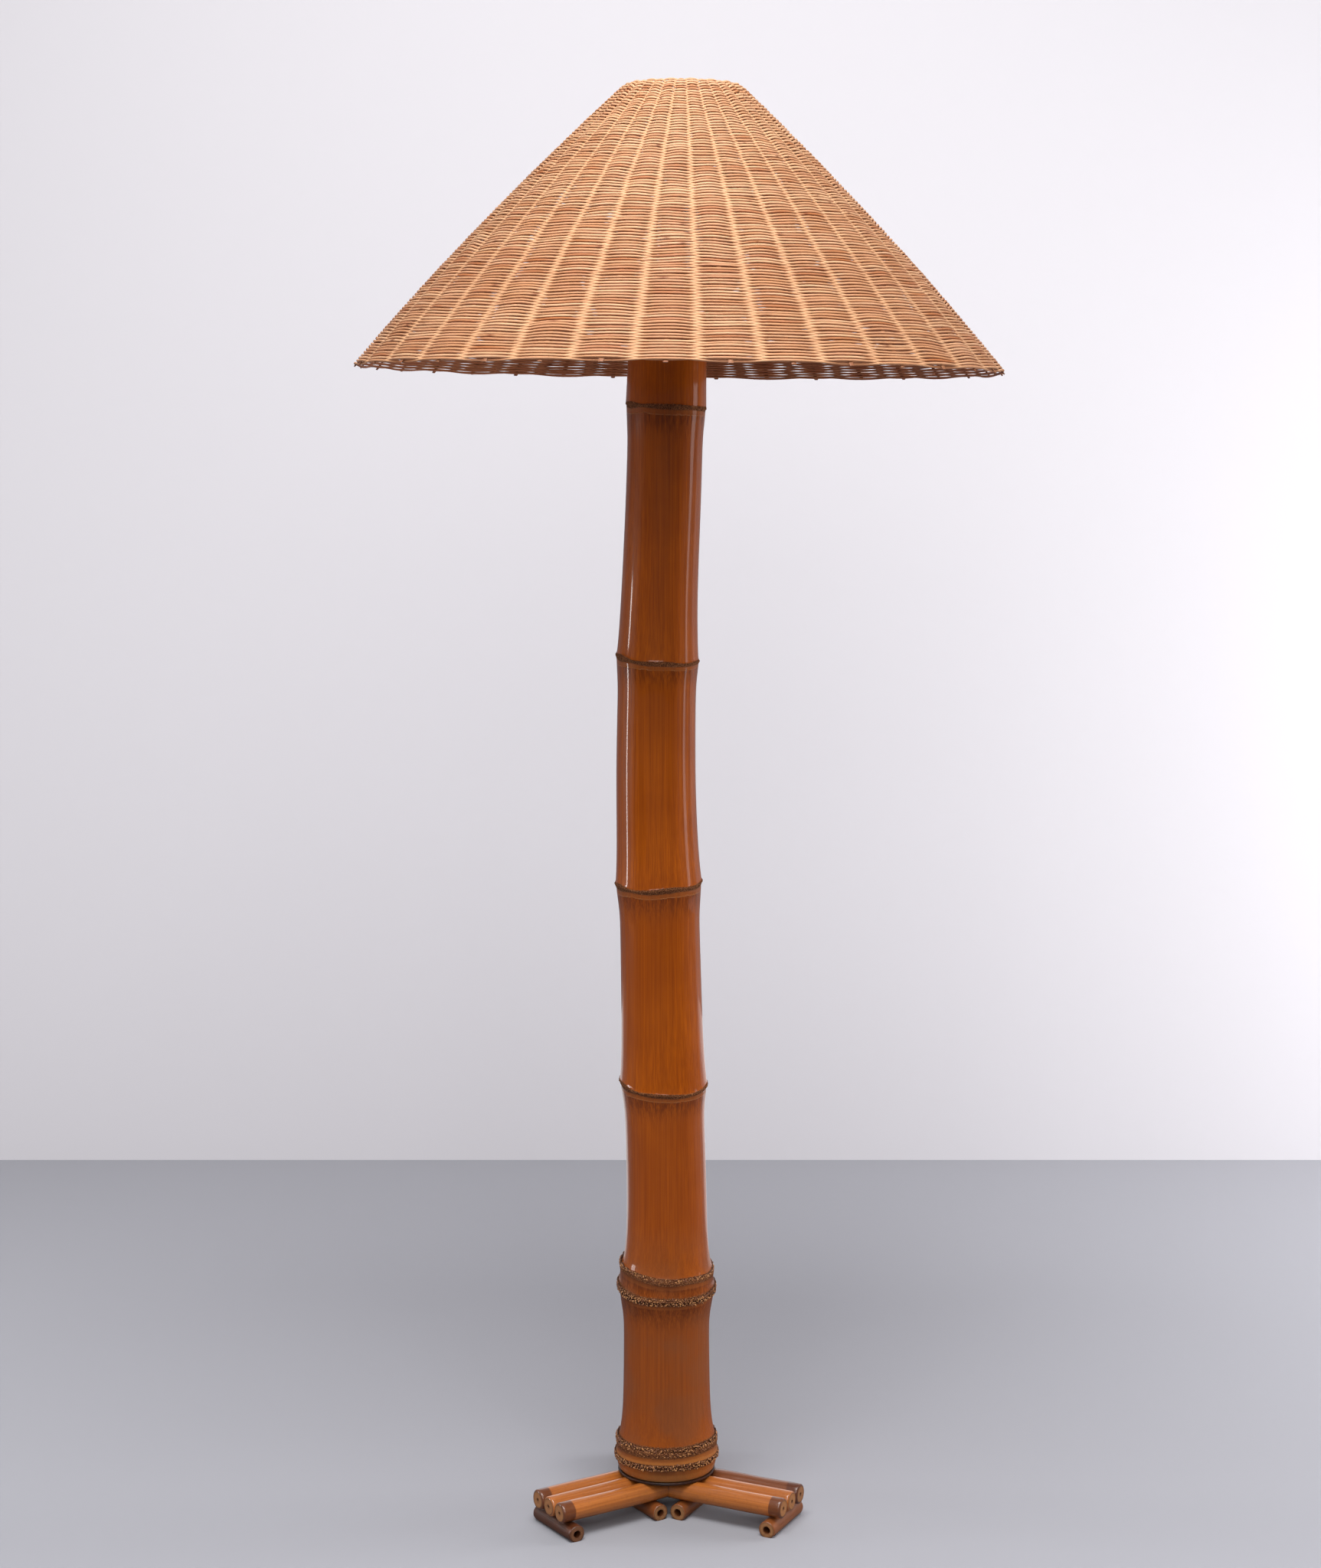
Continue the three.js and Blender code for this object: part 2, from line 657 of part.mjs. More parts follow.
// U-shaped strap: a flat base and two tongues turned up, which narrow to enter the ferrules.
function harpSaddle() {
  const outer = tongueReach + tongueThickness / 2;
  const inner = tongueReach - tongueThickness / 2;
  const tip = tongueShoulder + tongueTip;
  const outline = new THREE.Shape();
  outline.moveTo(-outer + saddleBend, 0);
  outline.lineTo(outer - saddleBend, 0);
  outline.quadraticCurveTo(outer, 0, outer, saddleBend);
  outline.lineTo(outer, tip);
  outline.lineTo(inner, tip);
  outline.lineTo(inner, saddleThickness);
  outline.lineTo(-inner, saddleThickness);
  outline.lineTo(-inner, tip);
  outline.lineTo(-outer, tip);
  outline.lineTo(-outer, saddleBend);
  outline.quadraticCurveTo(-outer, 0, -outer + saddleBend, 0);
  const options = { depth: saddleWidth, bevelEnabled: false, curveSegments: 4 };
  const strap = new THREE.ExtrudeGeometry(outline, options);
  strap.rotateX(Math.PI / 2).translate(0, saddleWidth / 2, 0);
  const side = (saddleWidth - tongueNarrow) / 2;
  const trims = [-1, 1].map((hand) => {
    const trim = new THREE.BoxGeometry(2 * outer + cutOverrun, side + cutOverrun, tongueTip + cutOverrun);
    const away = tongueNarrow / 2 + (side + cutOverrun) / 2;
    return trim.translate(0, hand * away, tongueShoulder + (tongueTip + cutOverrun) / 2);
  });
  const hole = bar(tubeRadius + seatGap, saddleThickness + 2 * cutOverrun, smallSides);
  return cut(strap, ...trims, hole.translate(0, 0, -cutOverrun)).translate(0, 0, saddleFoot);
}

// Wire bow from tongue to tongue, with a boss and a threaded stud on top.
function harp() {
  const bowTop = shoulderHeight - bossHeight / 2;
  const rise = bowTop - wireFoot;
  const side = [[tongueReach, wireFoot], [tongueReach, wireFoot + harpStraight / 2],
    [tongueReach, wireFoot + harpStraight]];
  harpRiseShares.forEach((share, i) => {
    const widening = i === 0
      ? THREE.MathUtils.lerp(tongueReach, harpBow, harpWidthShares[0])
      : harpBow * harpWidthShares[i];
    side.push([widening, wireFoot + harpStraight + share * (rise - harpStraight)]);
  });
  const right = side.map(([x, z]) => new THREE.Vector3(x, 0, z));
  const left = side.map(([x, z]) => new THREE.Vector3(-x, 0, z)).reverse();
  const curve = new THREE.CatmullRomCurve3([...right, ...left], false, 'centripetal');
  const bow = wire(curve, harpWire, 30, wireSides);
  const foot = shoulderHeight - bossHeight;
  const boss = revolve(
    [[0, foot], [bossRadius, foot], [bossRadius, shoulderHeight], [studRadius, shoulderHeight],
      [studRadius, shoulderHeight + studLength], [0, shoulderHeight + studLength]],
    smallSides,
  );
  return join(bow, boss);
}

function ferrule() {
  const inner = harpWire + turnGap;
  return sleeve(inner, inner + ferruleWall, ferruleLength, smallSides);
}

function lampholderCap() {
  const hole = tubeRadius + seatGap;
  const lip = capRadius - capWall;
  const [waist, waistHeight] = [capWaistShares[0] * capRadius, capWaistShares[1] * capStep];
  return revolve(
    [[hole, 0], [capHub, 0], [capHub, capHubHeight], [waist, waistHeight], [capRadius, capStep],
      [capRadius, capHeight], [lip, capHeight], [lip, capStep], [waist - capWall, capStep],
      [capHub, capHubHeight + 2 * capWall], [hole, capHubHeight + 2 * capWall], [hole, 0]],
    lampSides,
  );
}

// The hole that the switch key's shaft passes through, in a piece that stands at a height.
function keyHole(foot) {
  const hole = bar(keyShaft + turnGap, capRadius + coreRadius - keyDepth, smallSides);
  return hole.rotateX(Math.PI / 2).translate(0, keyDepth - coreRadius + seatGap, keyAxis - foot);
}

const keyAxis = coreFoot + coreHeight / 2;
const shellFoot = capFoot + capHeight - shellOverlap;

function lampholderShell() {
  const outer = shellInner + shellWall;
  const bead = shellHeight - beadHeight;
  const shell = revolve(
    [[shellInner, 0], [outer, 0], [outer, bead], [outer + shellWall, bead + beadHeight / 2],
      [outer, shellHeight], [shellInner, shellHeight], [shellInner, 0]],
    lampSides,
  );
  return cut(shell, keyHole(shellFoot));
}

function lampholderLiner() {
  const outer = shellInner - seatGap;
  const liner = sleeve(outer - linerWall, outer, shellHeight - beadHeight, lampSides);
  return cut(liner, keyHole(shellFoot));
}

// Places of the two terminal screws, on the left and right of the core.
function terminal(hand) {
  const face = coreRadius - terminalInset - seatGap;
  const screw = revolve(
    [[0, 0], [terminalHead, 0], [terminalHead, terminalHeadHeight],
      [terminalRadius, terminalHeadHeight], [terminalRadius, terminalLength], [0, terminalLength]],
    smallSides,
  );
  return screw.rotateY((-hand * Math.PI) / 2).translate(hand * face, 0, 0);
}

function terminalPocket(hand) {
  const face = coreRadius - terminalInset - seatGap;
  const bed = terminalHeadHeight + seatGap;
  const [wide, narrow] = [terminalHead + seatGap, terminalRadius + seatGap];
  const pocket = revolve(
    [[0, -cutOverrun], [wide, -cutOverrun], [wide, bed], [narrow, bed],
      [narrow, terminalLength + seatGap], [0, terminalLength + seatGap]],
    smallSides,
  );
  return pocket.rotateY((-hand * Math.PI) / 2).translate(hand * face, 0, coreHeight / 2);
}

function lampholderCore() {
  const blank = bar(Math.min(coreRadius, shellInner - 2 * seatGap - linerWall), coreHeight, lampSides);
  return cut(blank, keyHole(coreFoot), terminalPocket(-1), terminalPocket(1));
}

// Cup that takes the bulb's screw, with a hole in its floor for the centre contact.
function screwShell() {
  const inner = bulbScrewRadius + turnGap;
  const outer = inner + screwShellWall;
  return revolve(
    [[screwShellMouth, 0], [outer, 0], [outer, screwShellHeight], [inner, screwShellHeight],
      [inner, screwShellWall], [screwShellMouth, screwShellWall], [screwShellMouth, 0]],
    lampSides,
  );
}

function centreContact() {
  return revolve(
    [[0, 0], [contactRadius, 0], [contactRadius, contactHeight / 2], [contactRadius / 2, contactHeight],
      [0, contactHeight]],
    smallSides,
  );
}

// Turn key: a round shaft with an oval thumb piece in line with it, pointing to -Y.
function switchKey() {
  const shaft = bar(keyShaft, keyDepth + keyReach, smallSides);
  const oval = new THREE.Shape();
  oval.absellipse(0, 0, keyHeight / 2, keyLength / 2, 0, 2 * Math.PI);
  const options = { depth: keyThickness, bevelEnabled: false, curveSegments: 10 };
  const thumb = new THREE.ExtrudeGeometry(oval, options);
  thumb.translate(0, 0, -keyThickness / 2);
  thumb.rotateX(Math.PI / 2);
  thumb.translate(0, 0, keyDepth + keyReach + keyLength / 2 - keyShaft);
  return join(shaft, thumb).rotateX(Math.PI / 2);
}

// Lathe cup for the bulb: centre tip, insulating cone and the screw part.
function bulbCap() {
  const inner = bulbScrewRadius - bulbCapWall;
  const floor = bulbTipHeight + 2 * bulbCapWall;
  return revolve(
    [[0, 0], [bulbTip, 0], [bulbScrewRadius - bulbCapWall, bulbTipHeight],
      [bulbScrewRadius, bulbTipHeight + bulbCapWall], [bulbScrewRadius, bulbTipHeight + bulbScrewHeight],
      [inner, bulbTipHeight + bulbScrewHeight], [inner, floor + bulbCapWall], [0, floor + bulbCapWall]],
    lampSides,
  );
}

// Pear-shaped glass, open at the neck where the cap holds it.
function bulbGlass() {
  const neck = bulbScrewRadius - bulbCapWall - seatGap;
  const foot = bulbTipHeight + bulbScrewHeight / 2;
  const ball = bulbHeight - bulbRadius;
  const flank = flankShares.map(([wide, high]) => [wide * bulbRadius, high * bulbHeight]);
  const outline = [[neck, foot], [neck, bulbTipHeight + bulbScrewHeight], ...flank];
  for (let i = 0; i <= 4; i += 1) {
    const angle = (i / 4) * (Math.PI / 2);
    outline.push([bulbRadius * Math.cos(angle), ball + bulbRadius * Math.sin(angle)]);
  }
  const inner = outline.map(([radius, height], i) => {
    const last = i === outline.length - 1;
    return [last ? 0 : radius - glassWall, last ? height - glassWall : height];
  });
  return revolve([...outline, ...inner.reverse(), outline[0]], lampSides);
}

// Glass stem with two lead wires and the filament between them.
function bulbStem() {
  const foot = bulbTipHeight + bulbScrewHeight / 2;
  const flare = bulbScrewRadius - bulbCapWall - 2 * seatGap - glassWall;
  const stem = revolve(
    [[0, foot], [flare, foot], [flare, foot + glassWall], [stemRadius, foot + stemRadius],
      [stemRadius, foot + stemHeight], [0, foot + stemHeight + stemRadius]],
    smallSides,
  );
  const top = foot + stemHeight;
  const spots = [[-stemRadius / 2, top - stemRadius], [-filamentSpread, top + filamentRise],
    [0, top + filamentCrownShare * filamentRise], [filamentSpread, top + filamentRise],
    [stemRadius / 2, top - stemRadius]];
  const curve = new THREE.CatmullRomCurve3(spots.map(([x, z]) => new THREE.Vector3(x, 0, z)));
  return join(stem, wire(curve, filamentWire, 14, 4));
}

// Ring, arms and washer that carry the shade on the harp. The ring lies against the inside
// of the woven wall.
function shadeCarrier() {
  const { middle, normal, crest } = shadeWall(carrierRingHeight / shadeHeight);
  const slope = (middle[1] - carrierRingHeight) / normal[0];
  const carrierRingRadius = middle[0] + slope * normal[1] - (crest + seatGap + carrierWire) / normal[0];
  const ring = new THREE.TorusGeometry(carrierRingRadius, carrierWire, wireSides, 30);
  ring.translate(0, 0, carrierRingHeight);
  const foot = carrierWasherCentre - carrierWasherThickness / 2;
  const washer = sleeve(studRadius + turnGap, carrierWasherRadius, carrierWasherThickness, lampSides);
  const arms = Array.from({ length: carrierArms }, (_, i) => {
    const angle = Math.PI / 2 + (2 * Math.PI * i) / carrierArms;
    const start = new THREE.Vector3(carrierWasherRadius - carrierWire / 2, 0, carrierWasherCentre);
    const rise = armRiseShare * carrierDrop;
    const middle = new THREE.Vector3(carrierRingRadius / 2, 0, carrierWasherCentre + rise);
    const end = new THREE.Vector3(carrierRingRadius, 0, carrierRingHeight);
    const arm = wire(new THREE.CatmullRomCurve3([start, middle, end]), carrierWire, 4, wireSides);
    return arm.rotateZ(angle);
  });
  return join(ring, washer.translate(0, 0, foot), ...arms);
}

// Radius of the shade's outer face at a share of its height. A straight cone from rim to top,
// swollen outwards most at half height.
function shadeRadius(share) {
  return THREE.MathUtils.lerp(rimRadius, shadeTopRadius, share) + 4 * shadeBulge * share * (1 - share);
}

// Middle of the woven wall and its outward direction, in the plane of radius and height.
function shadeWall(share) {
  const [below, above] = [share - slopeStepShare, share + slopeStepShare];
  const run = (shadeRadius(above) - shadeRadius(below)) / (above - below);
  const length = Math.hypot(run, shadeHeight);
  const normal = [shadeHeight / length, -run / length];
  const crest = stakeThickness / 2 + strandDiameter;
  const middle = [shadeRadius(share) - crest * normal[0], share * shadeHeight - crest * normal[1] * share];
  return { middle, normal, crest };
}

// The woven wall: thick where the strands pass in and out of a stake, thin half way between
// two stakes. Columns run round the shade, rows up the outside and down the inside.
function wovenSkin() {
  const lift = pegLength / shadeHeight;
  const shares = slopeShares.map((share) => lift + share * (1 - lift));
  const rows = [...shares.map((share) => [share, 1]), ...shares.map((share) => [share, -1]).reverse()];
  const columns = 2 * stakeCount;
  const points = [];
  for (let column = 0; column < columns; column += 1) {
    const angle = (2 * Math.PI * column) / columns;
    rows.forEach(([share, side]) => {
      const { middle, normal, crest } = shadeWall(share);
      const half = side * (column % 2 === 0 ? crest : strandDiameter / 2);
      const radius = middle[0] + half * normal[0];
      points.push(radius * Math.cos(angle), radius * Math.sin(angle), middle[1] + half * normal[1]);
    });
  }
  const index = [];
  for (let column = 0; column < columns; column += 1) {
    const next = (column + 1) % columns;
    for (let row = 0; row < rows.length; row += 1) {
      const above = (row + 1) % rows.length;
      const [a, b] = [column * rows.length + row, next * rows.length + row];
      const [c, d] = [next * rows.length + above, column * rows.length + above];
      index.push(a, b, c, a, c, d);
    }
  }
  const geometry = new THREE.BufferGeometry();
  geometry.setAttribute('position', new THREE.BufferAttribute(new Float32Array(points), 3));
  geometry.setIndex(index);
  return geometry;
}

// Cut end of one stake, running down the slope from inside the weave to the rim's plane.
function stakePeg(number) {
  const { middle, normal } = shadeWall(0);
  const length = pegLength + pegRoot;
  const peg = new THREE.BoxGeometry(stakeThickness, stakeWidth, length);
  peg.translate(0, 0, length / 2);
  const slope = Math.atan2(normal[1], normal[0]);
  peg.rotateY(-slope).translate(middle[0], 0, (stakeThickness / 2) * normal[1] + middle[1]);
  return peg.rotateZ((2 * Math.PI * number) / stakeCount);
}

function shadeSkin() {
  const pegs = Array.from({ length: stakeCount }, (_, number) => stakePeg(number));
  return join(wovenSkin(), ...pegs);
}

// Turned knob with a blind bore that screws onto the harp's stud.
function finial() {
  const bore = studRadius + turnGap;
  const knob = finialKnobShares.map(([wide, high]) => [wide * finialRadius, high * finialHeight]);
  const neck = finialNeckShares.map((high) => [finialNeck, high * finialHeight]);
  return revolve(
    [[0, finialHeight], ...knob, ...neck, [finialRadius, finialFootShare * finialHeight],
      [finialRadius, 0], [bore, 0], [bore, finialBore], [0, finialBore]],
    lampSides,
  );
}

function addLampholder(parent) {
  add(parent, 'lampholder_cap', lampholderCap(), brassFinish, [0, 0, capFoot]);
  add(parent, 'lampholder_shell', lampholderShell(), brassFinish, [0, 0, shellFoot]);
  add(parent, 'lampholder_liner', lampholderLiner(), fibreFinish, [0, 0, shellFoot]);
  add(parent, 'lampholder_core', lampholderCore(), blackFinish, [0, 0, coreFoot]);
  add(parent, 'screw_shell', screwShell(), brassFinish, [0, 0, coreTop + seatGap]);
  add(parent, 'centre_contact', centreContact(), brassFinish, [0, 0, coreTop + seatGap]);
  add(parent, 'left_terminal', terminal(-1), steelFinish, [0, 0, keyAxis]);
  add(parent, 'right_terminal', terminal(1), steelFinish, [0, 0, keyAxis]);
  add(parent, 'switch_key', switchKey(), blackFinish, [0, keyDepth - coreRadius, keyAxis]);
}

function addBulb(parent) {
  add(parent, 'bulb_cap', bulbCap(), brassFinish, [0, 0, bulbFoot]);
  add(parent, 'bulb_glass', bulbGlass(), glassFinish, [0, 0, bulbFoot]);
  add(parent, 'bulb_stem', bulbStem(), steelFinish, [0, 0, bulbFoot]);
}

function addFitting(parent) {
  add(parent, 'top_plug', topPlug(), plugFinish);
  add(parent, 'fixing_tube', fixingTube(), brassFinish);
  add(parent, 'lower_nut', nut(), brassFinish, [0, 0, lowerNutFoot]);
  const washer = sleeve(tubeRadius + seatGap, washerRadius, washerThickness, lampSides);
  add(parent, 'washer', washer, brassFinish, [0, 0, washerFoot]);
  add(parent, 'upper_nut', nut(), brassFinish, [0, 0, upperNutFoot]);
  add(parent, 'harp_saddle', harpSaddle(), brassFinish);
  add(parent, 'harp', harp(), brassFinish);
  add(parent, 'left_ferrule', ferrule(), brassFinish, [-tongueReach, 0, ferruleFoot]);
  add(parent, 'right_ferrule', ferrule(), brassFinish, [tongueReach, 0, ferruleFoot]);
}

const lamp = new THREE.Group();
addBase(lamp);
add(lamp, 'culm', culm(), culmFinish);
add(lamp, 'cable_bush', cableBush(), blackFinish);
const fitting = fittingGroup();
lamp.add(fitting);
addFitting(fitting);
addLampholder(fitting);
addBulb(fitting);
add(fitting, 'shade_carrier', shadeCarrier(), steelFinish);
add(fitting, 'shade_skin', shadeSkin(), rattanFinish);
add(fitting, 'finial', finial(), brassFinish, [0, 0, finialFoot]);

export default lamp;
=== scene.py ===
import math

import bpy
import numpy as np
from bpy.props import FloatProperty, FloatVectorProperty, IntProperty, PointerProperty
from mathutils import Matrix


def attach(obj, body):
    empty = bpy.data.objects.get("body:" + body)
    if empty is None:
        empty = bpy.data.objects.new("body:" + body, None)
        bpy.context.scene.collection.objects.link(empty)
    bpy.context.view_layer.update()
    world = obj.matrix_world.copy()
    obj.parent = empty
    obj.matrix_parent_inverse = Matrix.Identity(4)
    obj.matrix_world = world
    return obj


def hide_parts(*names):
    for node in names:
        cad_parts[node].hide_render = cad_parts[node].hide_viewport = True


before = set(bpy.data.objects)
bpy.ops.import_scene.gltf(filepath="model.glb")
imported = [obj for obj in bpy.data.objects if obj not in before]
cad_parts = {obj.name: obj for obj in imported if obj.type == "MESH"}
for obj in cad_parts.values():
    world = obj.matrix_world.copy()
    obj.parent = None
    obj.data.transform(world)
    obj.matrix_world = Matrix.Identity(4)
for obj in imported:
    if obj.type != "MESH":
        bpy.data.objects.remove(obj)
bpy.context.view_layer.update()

bl_info = {
    "name": "Bamboo and rattan floor lamp",
    "version": (1, 0, 0),
    "blender": (4, 5, 0),
    "location": "3D View > Sidebar > Lamp",
    "description": "Surfaces and finishes of a floor lamp with a bamboo culm and a woven rattan shade",
    "category": "Add Mesh",
}

SEED = 35

# Foot, in metres
BASE_SHIFT = -0.0155
LEG_TURN = math.radians(3.2)
LEG_ANGLES = {"left": 210, "right": 330, "rear": 90}
FOOT_RADIUS = 0.011
FOOT_FLAT = 0.0015
FOOT_LENGTH = 0.090
FOOT_BORE = 0.0045
FOOT_EASE = 0.0012
FOOT_REACHES = {"inner": 0.0385, "outer": 0.163}
CANE_RADIUS = 0.013
CANE_SPACING = 0.0265
CANE_REACH = 0.178
CANE_CENTRE = 0.0338
CANE_EDGE = 0.0028
CANE_INSET = 0.00022
CANE_RIPPLE = 0.00016
CROSS_CANE_RIPPLE = 0.00012
CANE_BANDS = [0.018, 0, 0.019, 0.018, 0, 0.018, 0.014, 0, 0.016]
PITH_DEPTH = 0.020
MITRE_TIP = 0.00018
DISC_FOOT = 0.0471
DISC_RADIUS = 0.0625
DISC_THICKNESS = 0.003

# Culm, from its foot up
CULM_FOOT = 0.0504
CULM_LENGTH = 1.4396
CULM_COLUMNS = 180
CULM_STEP = 0.008
RING_STEP = 0.001
RING_ZONE = 0.017
RINGS = np.array([0.0136, 0.0275, 0.1657, 0.1831, 0.3526, 0.529, 0.7291, 0.9423]) * CULM_LENGTH
RING_RADII = np.array([1, 0.978, 0.949, 0.905, 0.833, 0.818, 0.781, 0.737]) * 0.0678
RING_OFFSETS = np.array([0, 0, 0.0028, 0.0042, 0, 0.0020, -0.0031, 0])
RING_LEANS = np.array([0.0006, 0.0006, 0.0058, 0.0067, 0.0085, 0.0040, 0.0067, 0.0034])
RING_PHASES = np.array([0.4, 1.1, 1.82, 2.25, 1.88, 1.07, 2.37, 3.1])
LENGTH_ENDS = np.concatenate([[0], RINGS, [CULM_LENGTH]])
BODY_RADII = np.array([1, 0.99, 0.87, 0.92, 0.797, 0.79, 0.78, 0.738, 0.76]) * 0.0635
BODY_TAPER = 0.015
ROOT_RINGS = 4
STUB_ROWS = [3, 5, 4, 3]
STUB_RISE = 0.0024
STUB_SINK = 0.0004
STUB_SIDES = 6
SINGLE = np.arange(len(RINGS)) >= ROOT_RINGS
SWELL_ABOVE = 0.75
SWELL_BELOW = 0.62
SWELL_REACHES = np.array([0.3, 0.55, 0.3, 0.58, 1, 1, 1, 0.6]) * 0.040
SWELL_BELOW_REACH = 0.028
BOW = np.array([0, -0.02, 0, -0.38, -0.69, -1, -0.76, -0.26, 0.07]) * 0.014
# How far along the culm a ring's wander carries, for a single ring and for a root ring
WANDER_REACHES = (0.022, 0.014)
RIDGE_ROUGHNESS = 0.22
BAND_HALF = 0.0050
BAND_SHARE = 0.35
FLUTE_DEPTH = 0.00007
OUT_OF_ROUND = 0.00045
CUT_RISE = 0.040
FOOT_EDGE = 0.0596
FOOT_ROUND = 0.0046
FOOT_ROUND_HEIGHT = 0.012
RECESS_RADIUS = 0.046
PLUG_HEIGHT = 0.040
# Height and radius of the bore, from the top down
BORE = np.array([[CULM_LENGTH, 0.0385], [1.0, 0.040], [0.5, 0.042], [0.06, 0.045],
                 [PLUG_HEIGHT, RECESS_RADIUS], [0.0, RECESS_RADIUS]])
# Height and darkening of the lacquer's colour: most at the foot, and a little in a band below the shade
LACQUER_DARKENING = np.array([[0, 0.2], [0.25, 0.15], [0.3, 0.03], [1.10, 0], [1.20, 0.08], [1.34, 0.06], [1.37, 0]])

# Shade
RIM_HEIGHT = 1.450
LEAN = 0.0129
RIM_RADIUS = 0.400
TOP_RADIUS = 0.0703
SHADE_HEIGHT = 0.346
BULGE = 0.0102
STAKES = 35
STEPS_PER_STAKE = 8
WALL_HALF = 0.0032
PEG_LENGTH = 0.0010
ROW_GROWTH = 0.13
WAVE = 1.2
STRAND_SIDES = 6
STAKE_SIDES = 10
STAKE_ROWS = 58
ROD_LENGTH = 1.9
SPLICES = 300
CARRIER_RADIUS = 0.0665

LEANING = np.array([[math.cos(LEAN), 0, math.sin(LEAN)], [0, 1, 0],
                    [-math.sin(LEAN), 0, math.cos(LEAN)]])
Y_AXIS = np.array([0, 1.0, 0])
SHARP = 40
FITTING_SHARP = 50


# Meshes


def quads_of(count, rows, columns, wrap_rows):
    """Quads of count grids of rows x columns points, each grid closed round its columns."""
    n, i, j = np.meshgrid(np.arange(count), np.arange(rows if wrap_rows else rows - 1),
                          np.arange(columns), indexing="ij")
    first = n * (rows * columns + (0 if wrap_rows else 2))
    low, high, on = i * columns, (i + 1) % rows * columns, (j + 1) % columns
    return np.stack([first + low + j, first + low + on, first + high + on, first + high + j],
                    axis=-1).reshape(-1, 4)


def fans_of(count, rows, columns):
    """Triangles that close both ends of each grid to the two pole points after it."""
    n, j = np.meshgrid(np.arange(count), np.arange(columns), indexing="ij")
    first = n * (rows * columns + 2)
    last = first + (rows - 1) * columns
    on = (j + 1) % columns
    low = np.stack([first + on, first + j, first + rows * columns], axis=-1)
    high = np.stack([last + j, last + on, first + rows * columns + 1], axis=-1)
    return np.concatenate([low.reshape(-1, 3), high.reshape(-1, 3)])


def shell(points, wrap_rows=False, poles=None, **marks):
    """Closed surfaces from points of shape (count, rows, columns, 3) or (rows, columns, 3).

    The columns close on themselves. Either the rows do too, or each end is closed by a fan to
    the middle of its row, or to the two given poles. Each mark is a value or a vector for every
    point, kept as an attribute.
    """
    points = np.asarray(points, dtype=float)
    count, rows, columns = (1, *points.shape)[-4:-1]

    def in_order(values, ends=None):
        """Values in the mesh's order, each grid's two pole values after its own."""
        values = np.asarray(values, dtype=float).reshape(count, rows, columns, -1)
        if not wrap_rows:
            if ends is None:
                ends = np.stack([values[:, 0].mean(axis=1), values[:, -1].mean(axis=1)], axis=1)
            body = values.reshape(count, rows * columns, -1)
            values = np.concatenate([body, np.broadcast_to(ends, (count, 2, body.shape[2]))], axis=1)
        return values.reshape(-1, values.shape[-1])

    flat = in_order(points, poles)
    quads = quads_of(count, rows, columns, wrap_rows)
    fans = np.zeros((0, 3), int) if wrap_rows else fans_of(count, rows, columns)
    volume = 0
    for faces in (quads[:, :3], quads[:, [0, 2, 3]], fans):
        a, b, c = flat[faces].transpose(1, 0, 2)
        volume += (a * np.cross(b, c)).sum()
    if volume < 0:
        quads, fans = quads[:, ::-1], fans[:, ::-1]
    return flat, quads, fans, {key: in_order(value) for key, value in marks.items()}


def merged(shells):
    """Several shells as one."""
    starts = np.cumsum([0] + [len(part[0]) for part in shells[:-1]])
    points = np.concatenate([part[0] for part in shells])
    quads, fans = (np.concatenate([part[kind] + start for part, start in zip(shells, starts)])
                   for kind in (1, 2))
    marks = {key: np.concatenate([part[3][key] for part in shells]) for key in shells[0][3]}
    return points, quads, fans, marks


def piece(name, body, surface, finish, replaces=(), sharp=None):
    """A mesh object from a shell, riding on a body, finish and attributes."""
    points, quads, fans, marks = surface
    corners = np.concatenate([quads.ravel(), fans.ravel()]).astype(np.int32)
    sizes = np.concatenate([np.full(len(quads), 4), np.full(len(fans), 3)])
    starts = np.concatenate([[0], np.cumsum(sizes)[:-1]]).astype(np.int32)
    mesh = bpy.data.meshes.new(name)
    mesh.vertices.add(len(points))
    mesh.vertices.foreach_set("co", points.astype(np.float32).ravel())
    mesh.loops.add(len(corners))
    mesh.loops.foreach_set("vertex_index", corners)
    mesh.polygons.add(len(sizes))
    mesh.polygons.foreach_set("loop_start", starts)
    mesh.polygons.foreach_set("use_smooth", np.ones(len(sizes), dtype=bool))
    mesh.update(calc_edges=True)
    for key, value in marks.items():
        kind, field = ("FLOAT_VECTOR", "vector") if value.shape[1] == 3 else ("FLOAT", "value")
        layer = mesh.attributes.new(key, kind, "POINT")
        layer.data.foreach_set(field, value.astype(np.float32).ravel())
    if sharp is not None:
        mesh.set_sharp_from_angle(angle=math.radians(sharp))
    mesh.materials.append(bpy.data.materials[finish])
    thing = bpy.data.objects.new(name, mesh)
    bpy.context.scene.collection.objects.link(thing)
    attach(thing, body)
    if replaces:
        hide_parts(*replaces)
    return thing


def unit(vectors):
    """The same directions at length one."""
    return vectors / np.linalg.norm(vectors, axis=-1, keepdims=True)


def circle(count):
    """Turns spread evenly over a full circle."""
    return np.arange(count) * math.tau / count


